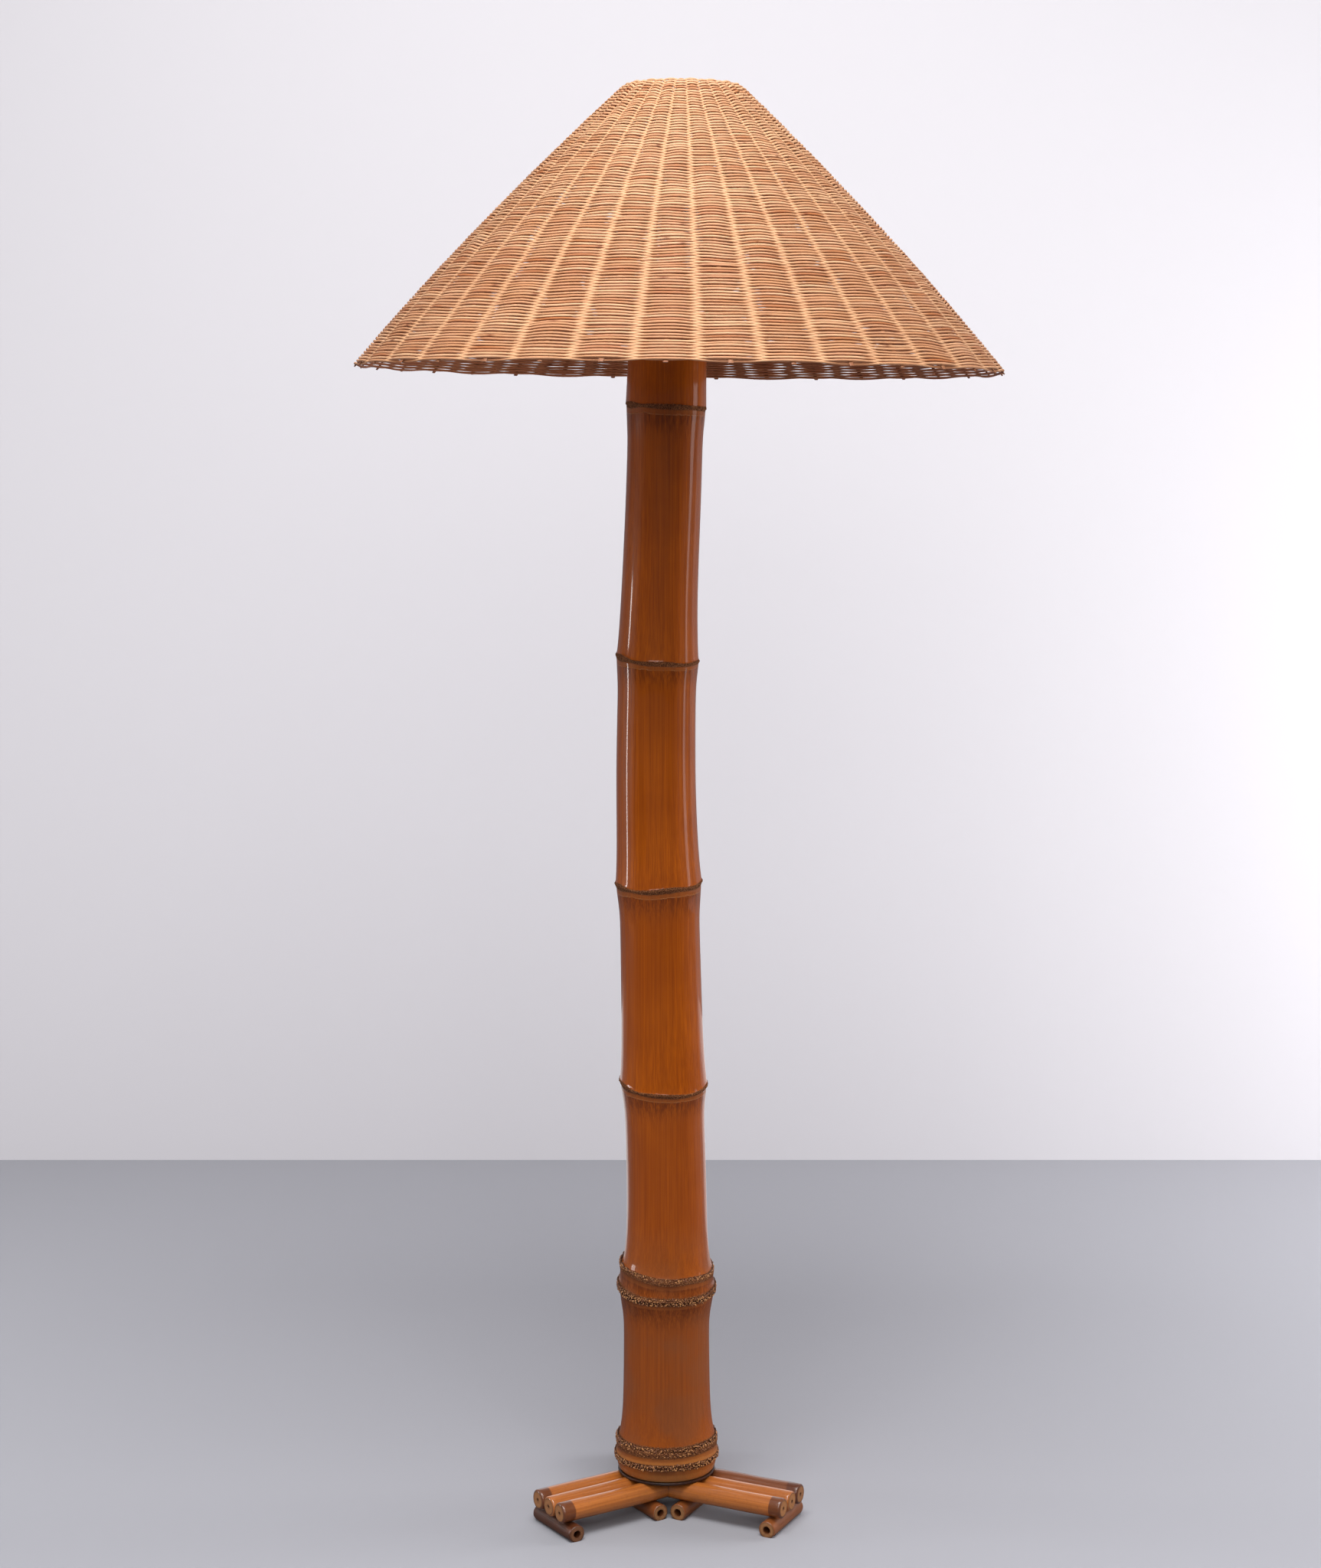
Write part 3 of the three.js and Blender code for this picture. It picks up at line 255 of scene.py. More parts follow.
def carried(paths, across, radii, sides, closed=False):
    """Round sections carried along paths of shape (count, steps, 3).

    The point at a step and a turn a is the path plus the radius times (cos a x across + sin a x
    side). across is made square to the path's tangent, and side is tangent x across. Returns the
    points and the mark lay: length along the path, then radius x cos a and radius x sin a.
    """
    if closed:
        tangent = unit(np.roll(paths, -1, axis=-2) - np.roll(paths, 1, axis=-2))
    else:
        tangent = unit(np.gradient(paths, axis=-2))
    across = np.broadcast_to(across, paths.shape)
    across = unit(across - (across * tangent).sum(axis=-1, keepdims=True) * tangent)
    side = np.cross(tangent, across)
    radii = np.broadcast_to(radii, paths.shape[:-1])[..., None, None]
    turn = circle(sides)
    cos, sin = np.cos(turn)[:, None], np.sin(turn)[:, None]
    points = paths[..., None, :] + radii * (cos * across[..., None, :] + sin * side[..., None, :])
    steps = np.linalg.norm(np.diff(paths, axis=-2), axis=-1)
    lay = np.empty(points.shape)
    lay[..., 0] = np.insert(np.cumsum(steps, axis=-1), 0, 0, axis=-1)[..., None]
    lay[..., 1] = radii[..., 0] * cos[:, 0]
    lay[..., 2] = radii[..., 0] * sin[:, 0]
    return points, lay


def turned(profile, sides=48, wrap_rows=False, thread=None):
    """A lathe surface about Z from [radius, height] points.

    It starts and ends on the axis, or with wrap_rows closes on itself. The point at a turn a is
    (radius x cos a, radius x sin a, height). The mark lay is (height, x, y). A thread of (depth,
    pitch, low, high) takes depth x (1 + cos(2 pi x height / pitch - a)) / 2 off the radius between
    two heights.
    """
    profile = np.asarray(profile, dtype=float)
    poles = None
    if not wrap_rows:
        poles = [[0, 0, profile[0, 1]], [0, 0, profile[-1, 1]]]
        profile = profile[1:-1]
    turn = circle(sides)
    radius, height = profile[:, :1], profile[:, 1:]
    if thread:
        depth, pitch, low, high = thread
        within = np.clip((height - low) / pitch, 0, 1) * np.clip((high - height) / pitch, 0, 1)
        radius = radius - within * depth * (1 + np.cos(math.tau * height / pitch - turn)) / 2
    points = np.stack([radius * np.cos(turn), radius * np.sin(turn), height + 0 * turn], axis=-1)
    return shell(points, wrap_rows, poles, lay=points[..., [2, 0, 1]])


def moved(surface, place=(0, 0, 0), turn=None):
    """A shell turned by a 3 x 3 matrix and then moved."""
    points, *rest = surface
    if turn is not None:
        points = points @ np.asarray(turn).T
    return points + np.asarray(place), *rest


def about_z(angle):
    """The matrix of a turn about Z."""
    cos, sin = math.cos(angle), math.sin(angle)
    return np.array([[cos, -sin, 0], [sin, cos, 0], [0, 0, 1]])


def on_fitting(surface):
    """A shell measured up the lamp's leaning axis from the rim's plane, put in its place."""
    return moved(surface, (0, 0, RIM_HEIGHT), LEANING)


def on_leg(surface, leg):
    """A shell measured along a leg that points to +X, put in its place."""
    angle = math.radians(LEG_ANGLES[leg]) + LEG_TURN
    return moved(surface, (BASE_SHIFT, 0, 0), about_z(angle))


def rounded(outline, radius, steps=4):
    """An open outline with each inner corner replaced by an arc-like curve.

    Each corner point P between A and B becomes the curve (1-t)^2 U + 2t(1-t) P + t^2 V, where U
    and V lie the radius away from P towards A and B.
    """
    outline = np.asarray(outline, dtype=float)
    corner = outline[1:-1]
    u, v = (corner + unit(other - corner)
            * np.minimum(radius, np.linalg.norm(other - corner, axis=1) / 2)[:, None]
            for other in (outline[:-2], outline[2:]))
    t = np.linspace(0, 1, steps)[None, :, None]
    curve = (1 - t) ** 2 * u[:, None] + 2 * t * (1 - t) * corner[:, None] + t ** 2 * v[:, None]
    return np.concatenate([outline[:1], curve.reshape(-1, 2), outline[-1:]])


def smooth_through(values, share):
    """A Catmull-Rom curve through evenly spaced values, read at shares from 0 to 1."""
    values = np.asarray(values, dtype=float)
    place = np.clip(share, 0, 1) * (len(values) - 1)
    low = np.clip(np.floor(place).astype(int), 0, len(values) - 2)
    t = place - low
    padded = np.concatenate([[2 * values[0] - values[1]], values, [2 * values[-1] - values[-2]]])
    a, b, c, d = (padded[low + step] for step in range(4))
    return 0.5 * (2 * b + (c - a) * t + (2 * a - 5 * b + 4 * c - d) * t ** 2
                  + (3 * b - a - 3 * c + d) * t ** 3)


def smooth_profile(knots, count):
    """A profile of count points on a smooth curve through [radius, height] knots."""
    share = np.linspace(0, 1, count)
    return np.stack([smooth_through(column, share) for column in np.transpose(knots)], axis=-1)


def millimetres(points):
    """Points given in millimetres, in metres."""
    return np.asarray(points, dtype=float) / 1000


def eased(corners, count, reach):
    """A path of count points through a line of corners, each point the mean of those near it.

    The mean is weighted by a raised cosine of 2 x reach points, shorter near the ends.
    """
    corners = np.asarray(corners, dtype=float)
    steps = np.insert(np.cumsum(np.linalg.norm(np.diff(corners, axis=0), axis=1)), 0, 0)
    places = np.linspace(0, steps[-1], count)
    path = np.stack([np.interp(places, steps, corners[:, axis]) for axis in range(3)], axis=-1)
    number = np.arange(count)
    room = np.minimum(np.minimum(number, count - 1 - number), reach) + 1
    away = np.clip((number[None] - number[:, None]) / room[:, None], -1, 1)
    weight = np.cos(away * math.pi / 2) ** 2
    return weight @ path / weight.sum(axis=1, keepdims=True)


def ripple(turn, height, waves, rng):
    """A smooth random field on a round piece: the mean of sines of whole turns and of height.

    waves is (count, most turns round, most waves per metre).
    """
    count, around, along = waves
    total = np.zeros(np.broadcast(turn, height).shape)
    for _ in range(count):
        k = rng.integers(1, around + 1)
        climb = rng.uniform(-along, along) * math.tau
        total += np.sin(k * turn + climb * height + rng.uniform(0, math.tau))
    return total / math.sqrt(count / 2)


def wander(count, reach, rng):
    """A smooth random walk round zero, of mean square one, that changes over about reach steps."""
    window = np.hanning(reach + 2)
    return np.convolve(rng.normal(0, 1, count), window / np.sqrt((window ** 2).sum()), mode="same")


# Shader nodes


def linear(red, green, blue):
    """A colour written as 0 to 255 screen values, as the linear colour that shaders use."""
    value = np.array([red, green, blue]) / 255
    value = np.where(value <= 0.04045, value / 12.92, ((value + 0.055) / 1.055) ** 2.4)
    return (*map(float, value), 1.0)


class Nodes:
    """A shader node tree. An input is a number, a colour or another node's output."""

    def __init__(self, tree):
        self.tree = tree

    def fill(self, socket, value):
        """Give a socket its value, or link it."""
        if isinstance(value, bpy.types.NodeSocket):
            self.tree.links.new(value, socket)
        else:
            socket.default_value = tuple(value) if hasattr(value, "__len__") else value

    def add(self, kind, inputs=None, **settings):
        """The outputs of a new node."""
        node = self.tree.nodes.new("ShaderNode" + kind)
        for key, value in settings.items():
            setattr(node, key, value)
        for key, value in (inputs or {}).items():
            self.fill(node.inputs[key], value)
        return node.outputs

    def place(self):
        """The place on the piece, in metres."""
        return self.add("TexCoord")["Object"]

    def mark(self, name, output="Fac"):
        """A piece's own attribute."""
        return self.add("Attribute", attribute_name=name)[output]

    def noise(self, place, scale, detail):
        """Noise at a scale."""
        return self.add("TexNoise", {"Vector": place, "Scale": scale, "Detail": detail})[0]

    def mix(self, factor, a, b):
        """Colour a with colour b laid over it by a factor."""
        return self.add("Mix", {0: factor, 6: a, 7: b}, data_type="RGBA")[2]

    def sum_of(self, operation, a, b=0.0, **settings):
        """One sum of two values."""
        return self.add("Math", {0: a, 1: b}, operation=operation, **settings)[0]

    def times(self, a, b):
        """a x b."""
        return self.sum_of("MULTIPLY", a, b)

    def plus(self, a, b):
        """a + b."""
        return self.sum_of("ADD", a, b)

    def minus(self, a, b):
        """a - b."""
        return self.sum_of("SUBTRACT", a, b)

    def ranged(self, value, low, high, to_low=0.0, to_high=1.0):
        """A value taken smoothly from one range to another."""
        inputs = {"Value": value, "From Min": low, "From Max": high, "To Min": to_low, "To Max": to_high}
        return self.add("MapRange", inputs, interpolation_type="SMOOTHSTEP")[0]

    def shared(self, name, outputs, build, **inputs):
        """The outputs of a shared node group, made at its first use."""
        group = bpy.data.node_groups.get(name)
        if not group:
            group = bpy.data.node_groups.new(name, "ShaderNodeTree")
            for label in inputs:
                kind = "NodeSocketVector" if label == "Place" else "NodeSocketFloat"
                group.interface.new_socket(label, in_out="INPUT", socket_type=kind)
            for label in outputs:
                group.interface.new_socket(label, in_out="OUTPUT", socket_type="NodeSocketFloat")
            given = group.nodes.new("NodeGroupInput").outputs
            result = group.nodes.new("NodeGroupOutput").inputs
            for socket, value in zip(result, build(Nodes(group), given)):
                group.links.new(value, socket)
        return self.add("Group", inputs, node_tree=group)

    def fibres(self, place, across, along):
        """The long streaks of bamboo, cane, rattan and turned wood, Broad and Fine."""
        return self.shared("long_fibres", ("Broad", "Fine"), build_fibres,
                           Place=place, Across=across, Along=along)

    def blotches(self, place, scale):
        """Soft patches and small specks, Patch and Speck."""
        return self.shared("soft_blotches", ("Patch", "Speck"), build_blotches, Place=place, Scale=scale)


def build_fibres(nodes, given):
    """Noise that is fine across the fibres and slow along them, at two widths."""
    parts = nodes.add("SeparateXYZ", {0: given["Place"]})
    results = []
    for share, detail in ((1.0, 2.0), (4.0, 3.0)):
        across = nodes.times(given["Across"], share)
        along = nodes.times(given["Along"], share)
        place = nodes.add("CombineXYZ", {axis: nodes.times(parts[axis], scale)
                                         for axis, scale in enumerate((along, across, across))})
        results.append(nodes.ranged(nodes.noise(place[0], 1.0, detail), 0.28, 0.72))
    return results


def build_blotches(nodes, given):
    """Soft patches and small specks of two sizes, both from noise at the given scale."""
    broad = nodes.noise(given["Place"], given["Scale"], 3.0)
    speck = nodes.noise(given["Place"], nodes.times(given["Scale"], 7.0), 2.0)
    return [nodes.ranged(broad, 0.35, 0.68), nodes.ranged(speck, 0.52, 0.72)]


class Finish(Nodes):
    """A material in the making, with the base colour laid on so far."""

    def __init__(self, name):
        material = bpy.data.materials.new(name)
        material.use_nodes = True
        super().__init__(material.node_tree)
        self.tree.nodes.clear()
        self.shader = self.tree.nodes.new("ShaderNodeBsdfPrincipled")
        output = self.tree.nodes.new("ShaderNodeOutputMaterial")
        self.tree.links.new(self.shader.outputs[0], output.inputs[0])
        self.material = material

    def start(self, factor, light, deep):
        """The first base colour: deep laid over light by a factor."""
        self.base = self.mix(factor, light, deep)

    def lay(self, colour, factor, share=None):
        """Lay a colour over the base by a factor, or by a share of it."""
        self.base = self.mix(self.times(factor, share) if share else factor, self.base, colour)

    def close(self, values, height=None, distance=None):
        """Give the shader its base colour and values, and bump from a height of 0 to 1."""
        if height:
            bump = {"Height": height, "Distance": distance, "Strength": 1.0}
            values = {**values, "Normal": self.add("Bump", bump)[0]}
        for key, value in {"Base Color": self.base, **values}.items():
            self.fill(self.shader.inputs[key], value)
        return self.material


# Finishes

LACQUER_DARK = linear(92, 36, 14)
ROOT_WORN = linear(132, 78, 46)
# Dark brown painted as shade just below the root rings
ROOT_RING_SHADE = linear(70, 34, 18)
HANGING_STAIN = linear(84, 36, 12)
SCAR_LINE = linear(196, 128, 74)
FOOT_TAN = linear(172, 108, 54)
CULM_SAWN = linear(178, 124, 72)
CANE_SPECK = linear(74, 36, 16)
CANE_BAND = linear(82, 36, 14)
CANE_PORE = linear(96, 62, 36)
# Darker edge of a cut face, and painted shade down the pith hole and the bore
CANE_RIM_AND_HOLE_SHADE = linear(78, 44, 26)
# A pale straw colour painted as a highlight where the strand crosses the wall
PAINTED_HIGHLIGHT = linear(206, 161, 122)
# Dark brown painted as shade on the strand's inward faces
PAINTED_SHADE_INSIDE = linear(80, 42, 25)
SPLICE = linear(116, 60, 36)


def bamboo_finish(colours):
    """Glossy golden-brown lacquer over bamboo.

    Fine fibres run up it. Under each ring lies a dull band that ends in a thin pale line, and below
    that dark stains hang down among the fibres. Just below the root rings patchy shade is painted.
    The rings are rough and fibrous.
    """
    f = Finish("lacquered_bamboo")
    lay = f.mark("lay", "Vector")
    streak = f.fibres(lay, 330.0, 1.6)
    blotch = f.blotches(lay, 14.0)
    fine, patch = streak["Fine"], blotch["Patch"]
    f.start(f.times(patch, 0.4), colours.bamboo_light, colours.bamboo_deep)
    f.lay(colours.bamboo_streak, streak["Broad"], 0.38)
    f.lay(colours.bamboo_streak, fine, 0.42)
    f.lay(LACQUER_DARK, f.mark("tone"))
    rooted = f.mark("rooted")
    f.lay(ROOT_WORN, f.times(rooted, f.ranged(patch, 0.0, 1.0, 0.25, 0.6)))
    # Stains, band and line under a ring, and painted shade under the root rings
    under = f.mark("under")
    fibre = f.plus(f.times(fine, 0.7), f.times(streak["Broad"], 0.5))
    f.lay(HANGING_STAIN, f.times(f.ranged(under, 0.004, 0.040, 1.0, 0.0), fibre), 0.75)
    f.lay(FOOT_TAN, f.mark("tan"), 0.7)
    level = f.plus(under, f.times(f.minus(blotch["Speck"], 0.5), 0.0016))
    band = f.times(f.ranged(level, 0.0050, 0.0062, 1.0, 0.0), 0.6)
    f.lay(colours.bamboo_scar, band)
    line = f.ranged(f.sum_of("ABSOLUTE", f.minus(level, 0.0060)), 0.0002, 0.0011, 1.0, 0.0)
    line = f.times(f.times(line, f.minus(1.0, rooted)), fibre)
    f.lay(SCAR_LINE, line, 0.5)
    # Painted shade just below each root ring
    f.lay(ROOT_RING_SHADE, f.times(f.ranged(under, 0.0, 0.010, 0.75, 0.0), f.times(rooted, patch)))
    # Ring and sawn foot
    grit = f.ranged(f.noise(f.place(), 850.0, 2.0), 0.36, 0.66)
    ring = f.ranged(f.plus(f.mark("ring"), f.times(f.minus(grit, 0.5), 0.3)), 0.3, 0.5)
    f.lay(f.mix(grit, colours.ring_deep, colours.ring_light), ring)
    cut = f.mark("cut")
    f.lay(CULM_SAWN, cut)
    dull = f.sum_of("MAXIMUM", f.sum_of("MAXIMUM", ring, cut), f.times(band, 0.5))
    bare = f.sum_of("MAXIMUM", dull, f.times(rooted, 0.45))
    height = f.plus(f.plus(f.times(fine, 0.08), f.times(grit, ring)), f.times(line, 0.4))
    f.close({"Roughness": f.ranged(dull, 0.0, 1.0, 0.30, 0.85),
             "Coat Weight": f.ranged(bare, 0.0, 0.8, 0.5, 0.0),
             "Coat Roughness": 0.06, "Specular IOR Level": 0.1}, height, 0.0011)


def stub_finish(colours):
    """Cut root stubs: golden-brown at the tip, with dark brown shade painted towards their feet, no two
    alike.
    """
    f = Finish("root_stubs")
    blotch = f.blotches(f.place(), 160.0)
    own = f.ranged(f.mark("tone"), 0.15, 0.75)
    brown = f.sum_of("ADD", f.times(blotch["Patch"], 0.25), f.times(own, 0.85), use_clamp=True)
    golden = f.mix(brown, colours.stub_tip, colours.stub_brown)
    # Painted shade: darker towards each stub's foot, between the stubs
    f.start(f.ranged(f.mark("tip"), 0.3, 0.95), colours.stub_shade, golden)
    f.close({"Roughness": 0.55, "Coat Weight": 0.25, "Coat Roughness": 0.25}, blotch["Speck"], 0.0004)


def cane_finish(name, light, deep, cut, gloss):
    """Lacquered cane with long fibres, darker bands towards its ends, and honey-brown cut faces with a
    darker edge and painted shade down the hole in the middle.
    """
    f = Finish(name)
    lay = f.mark("lay", "Vector")
    streak = f.fibres(lay, 420.0, 5.0)
    blotch = f.blotches(lay, 38.0)
    f.start(f.times(streak["Broad"], 0.6), light, deep)
    f.lay(deep, streak["Fine"], 0.25)
    f.lay(CANE_SPECK, blotch["Speck"], 0.12)
    band = f.plus(f.mark("band"), f.times(f.minus(blotch["Patch"], 0.5), 0.3))
    f.lay(CANE_BAND, f.ranged(band, 0.35, 0.6), 0.8)
    # Open pores on the cut faces
    pore = f.ranged(f.add("TexVoronoi", {"Vector": f.place(), "Scale": 900.0})["Distance"], 0.12, 0.4)
    sawn = f.ranged(f.mark("cut"), 0.4, 0.7)
    f.lay(f.mix(pore, CANE_PORE, cut), sawn)
    # Darker edge of the cut face, and painted shade down the hole in its middle
    f.lay(CANE_RIM_AND_HOLE_SHADE, f.mark("rim"), 0.75)
    height = f.plus(f.times(streak["Fine"], 0.4), f.times(pore, sawn))
    f.close({"Roughness": f.ranged(sawn, 0.0, 1.0, 0.32, 0.8),
             "Coat Weight": f.ranged(sawn, 0.0, 1.0, gloss, 0.1), "Coat Roughness": 0.1}, height, 0.0003)


def rattan_finish(name, light, mid, deep, blush, dim):
    """Bare rattan core: a tone for each length of it, rosy stretches and fine fibres along it.

    It is painted red-brown shade wherever it lies out of the light, behind the stakes and on its
    inward faces, and a pale straw highlight where it crosses the wall.
    """
    f = Finish(name)
    lay = f.mark("lay", "Vector")
    streak = f.fibres(lay, 1500.0, 30.0)
    stretch = f.blotches(lay, 7.0)
    tone = f.mark("tone")
    f.start(f.ranged(tone, -0.2, 0.5), light, mid)
    f.lay(deep, f.ranged(tone, 0.55, 1.0))
    f.lay(blush, stretch["Patch"], 0.5)
    f.lay(deep, streak["Broad"], 0.3)
    # Painted shade: red-brown where the strand runs behind a stake or faces inwards
    f.lay(dim, f.mark("hidden"))
    # Painted highlight where the strand crosses the wall
    f.lay(PAINTED_HIGHLIGHT, f.mark("crossing"), 0.6)
    # Painted shade on the strand's inward faces
    f.lay(PAINTED_SHADE_INSIDE, f.mark("inside"), 0.75)
    f.lay(SPLICE, f.mark("fleck"))
    f.close({"Roughness": 0.5, "Specular IOR Level": 0.25}, streak["Fine"], 0.0001)


def wood_finish(name, light, deep, roughness):
    """Turned or sawn wood with grain along one direction."""
    f = Finish(name)
    streak = f.fibres(f.place(), 160.0, 18.0)
    f.start(streak["Broad"], light, deep)
    f.lay(deep, streak["Fine"], 0.4)
    f.close({"Roughness": roughness}, streak["Fine"], 0.0003)


def metal_finish(name, light, deep, roughness, tarnish):
    """Metal with handling marks: patches of tarnish that are darker and duller."""
    f = Finish(name)
    blotch = f.blotches(f.place(), 60.0)
    dull = f.times(blotch["Patch"], tarnish)
    f.start(dull, light, deep)
    f.close({"Roughness": f.ranged(dull, 0.0, 1.0, roughness, roughness + 0.35), "Metallic": 1.0},
            blotch["Speck"], 0.00005)


def moulded_finish(name, colour, wear, roughness):
    """A moulded or pressed piece with faint specks and uneven sheen."""
    f = Finish(name)
    blotch = f.blotches(f.place(), 120.0)
    f.start(f.times(blotch["Speck"], 0.4), colour, wear)
    f.close({"Roughness": f.ranged(blotch["Patch"], 0.0, 1.0, roughness, roughness + 0.15)},
            blotch["Patch"], 0.00008)


def stage_finish(name, colour):
    """Plain painted floor or wall, clear from behind and dimmer in the lacquer's reflections."""
    f = Finish(name)
    dim = (*(0.3 * part for part in colour[:3]), 1.0)
    f.start(f.add("LightPath")["Is Glossy Ray"], colour, dim)
    seen = f.minus(1.0, f.add("NewGeometry")["Backfacing"])
    return f.close({"Roughness": 0.9, "Specular IOR Level": 0.1, "Alpha": seen})


# Each row: the function, the name, its colours as screen values, and its last numbers
PLAIN_FINISHES = (
    (cane_finish, "cross_cane", (150, 86, 42), (110, 58, 28), (168, 114, 66), 0.4),
    (cane_finish, "dark_cane", (98, 52, 28), (62, 30, 15), (126, 80, 48), 0.15),
    (cane_finish, "brown_cane", (134, 76, 40), (102, 54, 28), (150, 100, 60), 0.6),
    # The stakes' last colour is the colour of their painted shade
    (rattan_finish, "rattan_stake", (206, 158, 118), (192, 140, 100), (166, 108, 70), (190, 134, 106),
     (104, 56, 32)),
    (wood_finish, "dark_disc", (70, 38, 24), (38, 21, 14), 0.4),
    (wood_finish, "turned_wood", (204, 160, 106), (168, 118, 70), 0.6),
    (metal_finish, "brass", (216, 178, 98), (140, 96, 44), 0.24, 0.45),
    (metal_finish, "plated_steel", (196, 194, 188), (120, 116, 108), 0.3, 0.4),
    (metal_finish, "bright_aluminium", (218, 218, 216), (160, 160, 158), 0.26, 0.3),
    (moulded_finish, "black_moulding", (30, 27, 25), (58, 52, 48), 0.32),
    (moulded_finish, "fibre_sleeve", (150, 120, 84), (104, 80, 52), 0.75),
    (moulded_finish, "opal_glass", (234, 231, 224), (222, 218, 208), 0.12),
)
SLOT_FINISHES = {"brass": "brass", "steel": "plated_steel", "aluminium": "bright_aluminium",
                 "black": "black_moulding", "opal_glass": "opal_glass"}
CARRIED_FINISHES = {
    "turned_wood": ("base_plug", "top_plug"),
    "black_moulding": ("cable_bush", "lampholder_core"),
    "fibre_sleeve": ("lampholder_liner",),
    "plated_steel": ("left_terminal", "right_terminal"),
    "brass": ("fixing_tube", "lower_nut", "washer", "upper_nut", "harp_saddle", "screw_shell",
              "centre_contact"),
}


# Sizes and colours that a user may change


def length_property(name, description, default, low, high):
    """A length in metres."""
    return FloatProperty(name=name, description=description, default=default, min=low, max=high,
                         precision=4, subtype="DISTANCE", unit="LENGTH")


def colour_property(name, description, *screen):
    """A colour with alpha, from its screen values."""
    return FloatVectorProperty(name=name, description=description, default=linear(*screen), size=4,
                               min=0, max=1, subtype="COLOR")


class LampSizes(bpy.types.PropertyGroup):
    """Sizes of the surfaces that the frame leaves open."""

    strand: length_property("Strand", "Diameter of the woven strand", 0.00236, 0.001, 0.0026)
    stake: length_property("Stake", "Thickness of the shade's flat stakes", 0.0018, 0.001, 0.0030)
    stake_width: length_property("Stake width", "Width of the shade's flat stakes", 0.006, 0.003, 0.009)
    rows: IntProperty(name="Rows", description="Rounds of the weave", default=202, min=40, max=210)
    sway: length_property("Sway", "How far the rows wander up and down together", 0.0007, 0.0, 0.002)
    nudge: length_property("Nudge", "How far a row strays from its neighbours", 0.00024, 0.0, 0.0005)
    ridge: length_property("Ridge", "Half height of the ridge at a single ring", 0.0027, 0.001, 0.006)
    stub: length_property("Stub", "Radius of a cut root stub", 0.00122, 0.0008, 0.002)


class LampColours(bpy.types.PropertyGroup):
    """Colours of the natural materials, and of the shade painted on the rattan and between the root
    stubs.
    """

    bamboo_light: colour_property("Bamboo light", "Lighter fibres of the culm", 178, 88, 12)
    bamboo_deep: colour_property("Bamboo deep", "Darker fibres of the culm", 150, 68, 10)
    bamboo_streak: colour_property("Bamboo streak", "Fine streaks of the culm", 116, 48, 10)
    bamboo_scar: colour_property("Bamboo scar", "Dull band under the rings", 150, 82, 36)
    ring_light: colour_property("Ring light", "Lighter fibres of the rings", 152, 98, 62)
    ring_deep: colour_property("Ring deep", "Darker fibres of the rings", 86, 47, 28)
    stub_tip: colour_property("Stub tip", "Tips of the cut root stubs", 196, 134, 78)
    stub_brown: colour_property("Stub brown", "Browner stubs", 126, 74, 40)
    # Colour of the shade painted between the stubs
    stub_shade: colour_property("Stub deep", "Between the stubs", 72, 40, 24)
    cane_light: colour_property("Cane light", "Lighter fibres of the canes", 190, 112, 46)
    cane_deep: colour_property("Cane deep", "Darker fibres of the canes", 152, 80, 28)
    cane_cut: colour_property("Cane cut", "Cut faces of the canes", 166, 110, 62)
    rattan_light: colour_property("Rattan light", "Palest strands", 208, 168, 130)
    rattan_mid: colour_property("Rattan mid", "Most strands", 184, 133, 94)
    rattan_deep: colour_property("Rattan deep", "Fibres and darkest strands", 162, 98, 56)
    # Colour of the shade painted on the strands
    rattan_shade_colour: colour_property("Rattan dim", "Strands out of the light", 178, 90, 42)
    rattan_blush: colour_property("Rattan blush", "Rosy stretches of the strand", 198, 150, 120)


# Culm


def culm_shift(height):
    """Sideways place of the culm's centreline at a height above its foot."""
    return BASE_SHIFT + np.where(height > PLUG_HEIGHT, smooth_through(BOW, height / CULM_LENGTH), 0)


def cut_top(x):
    """Height of the culm's sawn top, which is square to the leaning axis."""
    return RIM_HEIGHT + CUT_RISE / math.cos(LEAN) - x * math.tan(LEAN)


def length_at(height):
    """The number of the length of culm at a height, and the share of it that lies below."""
    length = np.searchsorted(RINGS, height, side="right")
    return length, (height - LENGTH_ENDS[length]) / (LENGTH_ENDS[length + 1] - LENGTH_ENDS[length])


def swollen_radius(height):
    """Radius of the culm without its rings: each length is a little wider at its foot.

    Above a ring the body is wider by a share of what the ring stands out, dying away as
    exp(-distance / reach); below it as exp(-(distance / reach)^2).
    """
    length, share = length_at(height)
    body = BODY_RADII[length] * (1 + BODY_TAPER * (1 - 2 * share))
    below = np.clip(length - 1, 0, len(RINGS) - 1)
    excess = np.maximum(RING_RADII[below] - body, 0)
    above = SWELL_ABOVE * excess * np.exp(-np.maximum(height - RINGS[below], 0) / SWELL_REACHES[below])
    over = np.clip(length, 0, len(RINGS) - 1)
    excess = np.maximum(RING_RADII[over] - body, 0)
    under = SWELL_BELOW * excess * np.exp(-((RINGS[over] - height) / SWELL_BELOW_REACH) ** 2)
    return body + np.maximum(np.where(length > 0, above, 0), np.where(length < len(RINGS), under, 0))


def ring_wander(turn):
    """How far each ring runs above its place in the frame, for each turn a round the culm.

    rise = offset + lean x cos(a - phase) + a small random ripple.
    """
    rng = np.random.default_rng(SEED + 3)
    ripples = np.array([ripple(turn, 0, (4, 6, 0), rng) for _ in RING_LEANS])
    leaning = RING_LEANS[:, None] * np.cos(turn - RING_PHASES[:, None])
    return RING_OFFSETS[:, None] + leaning + 0.0005 * ripples


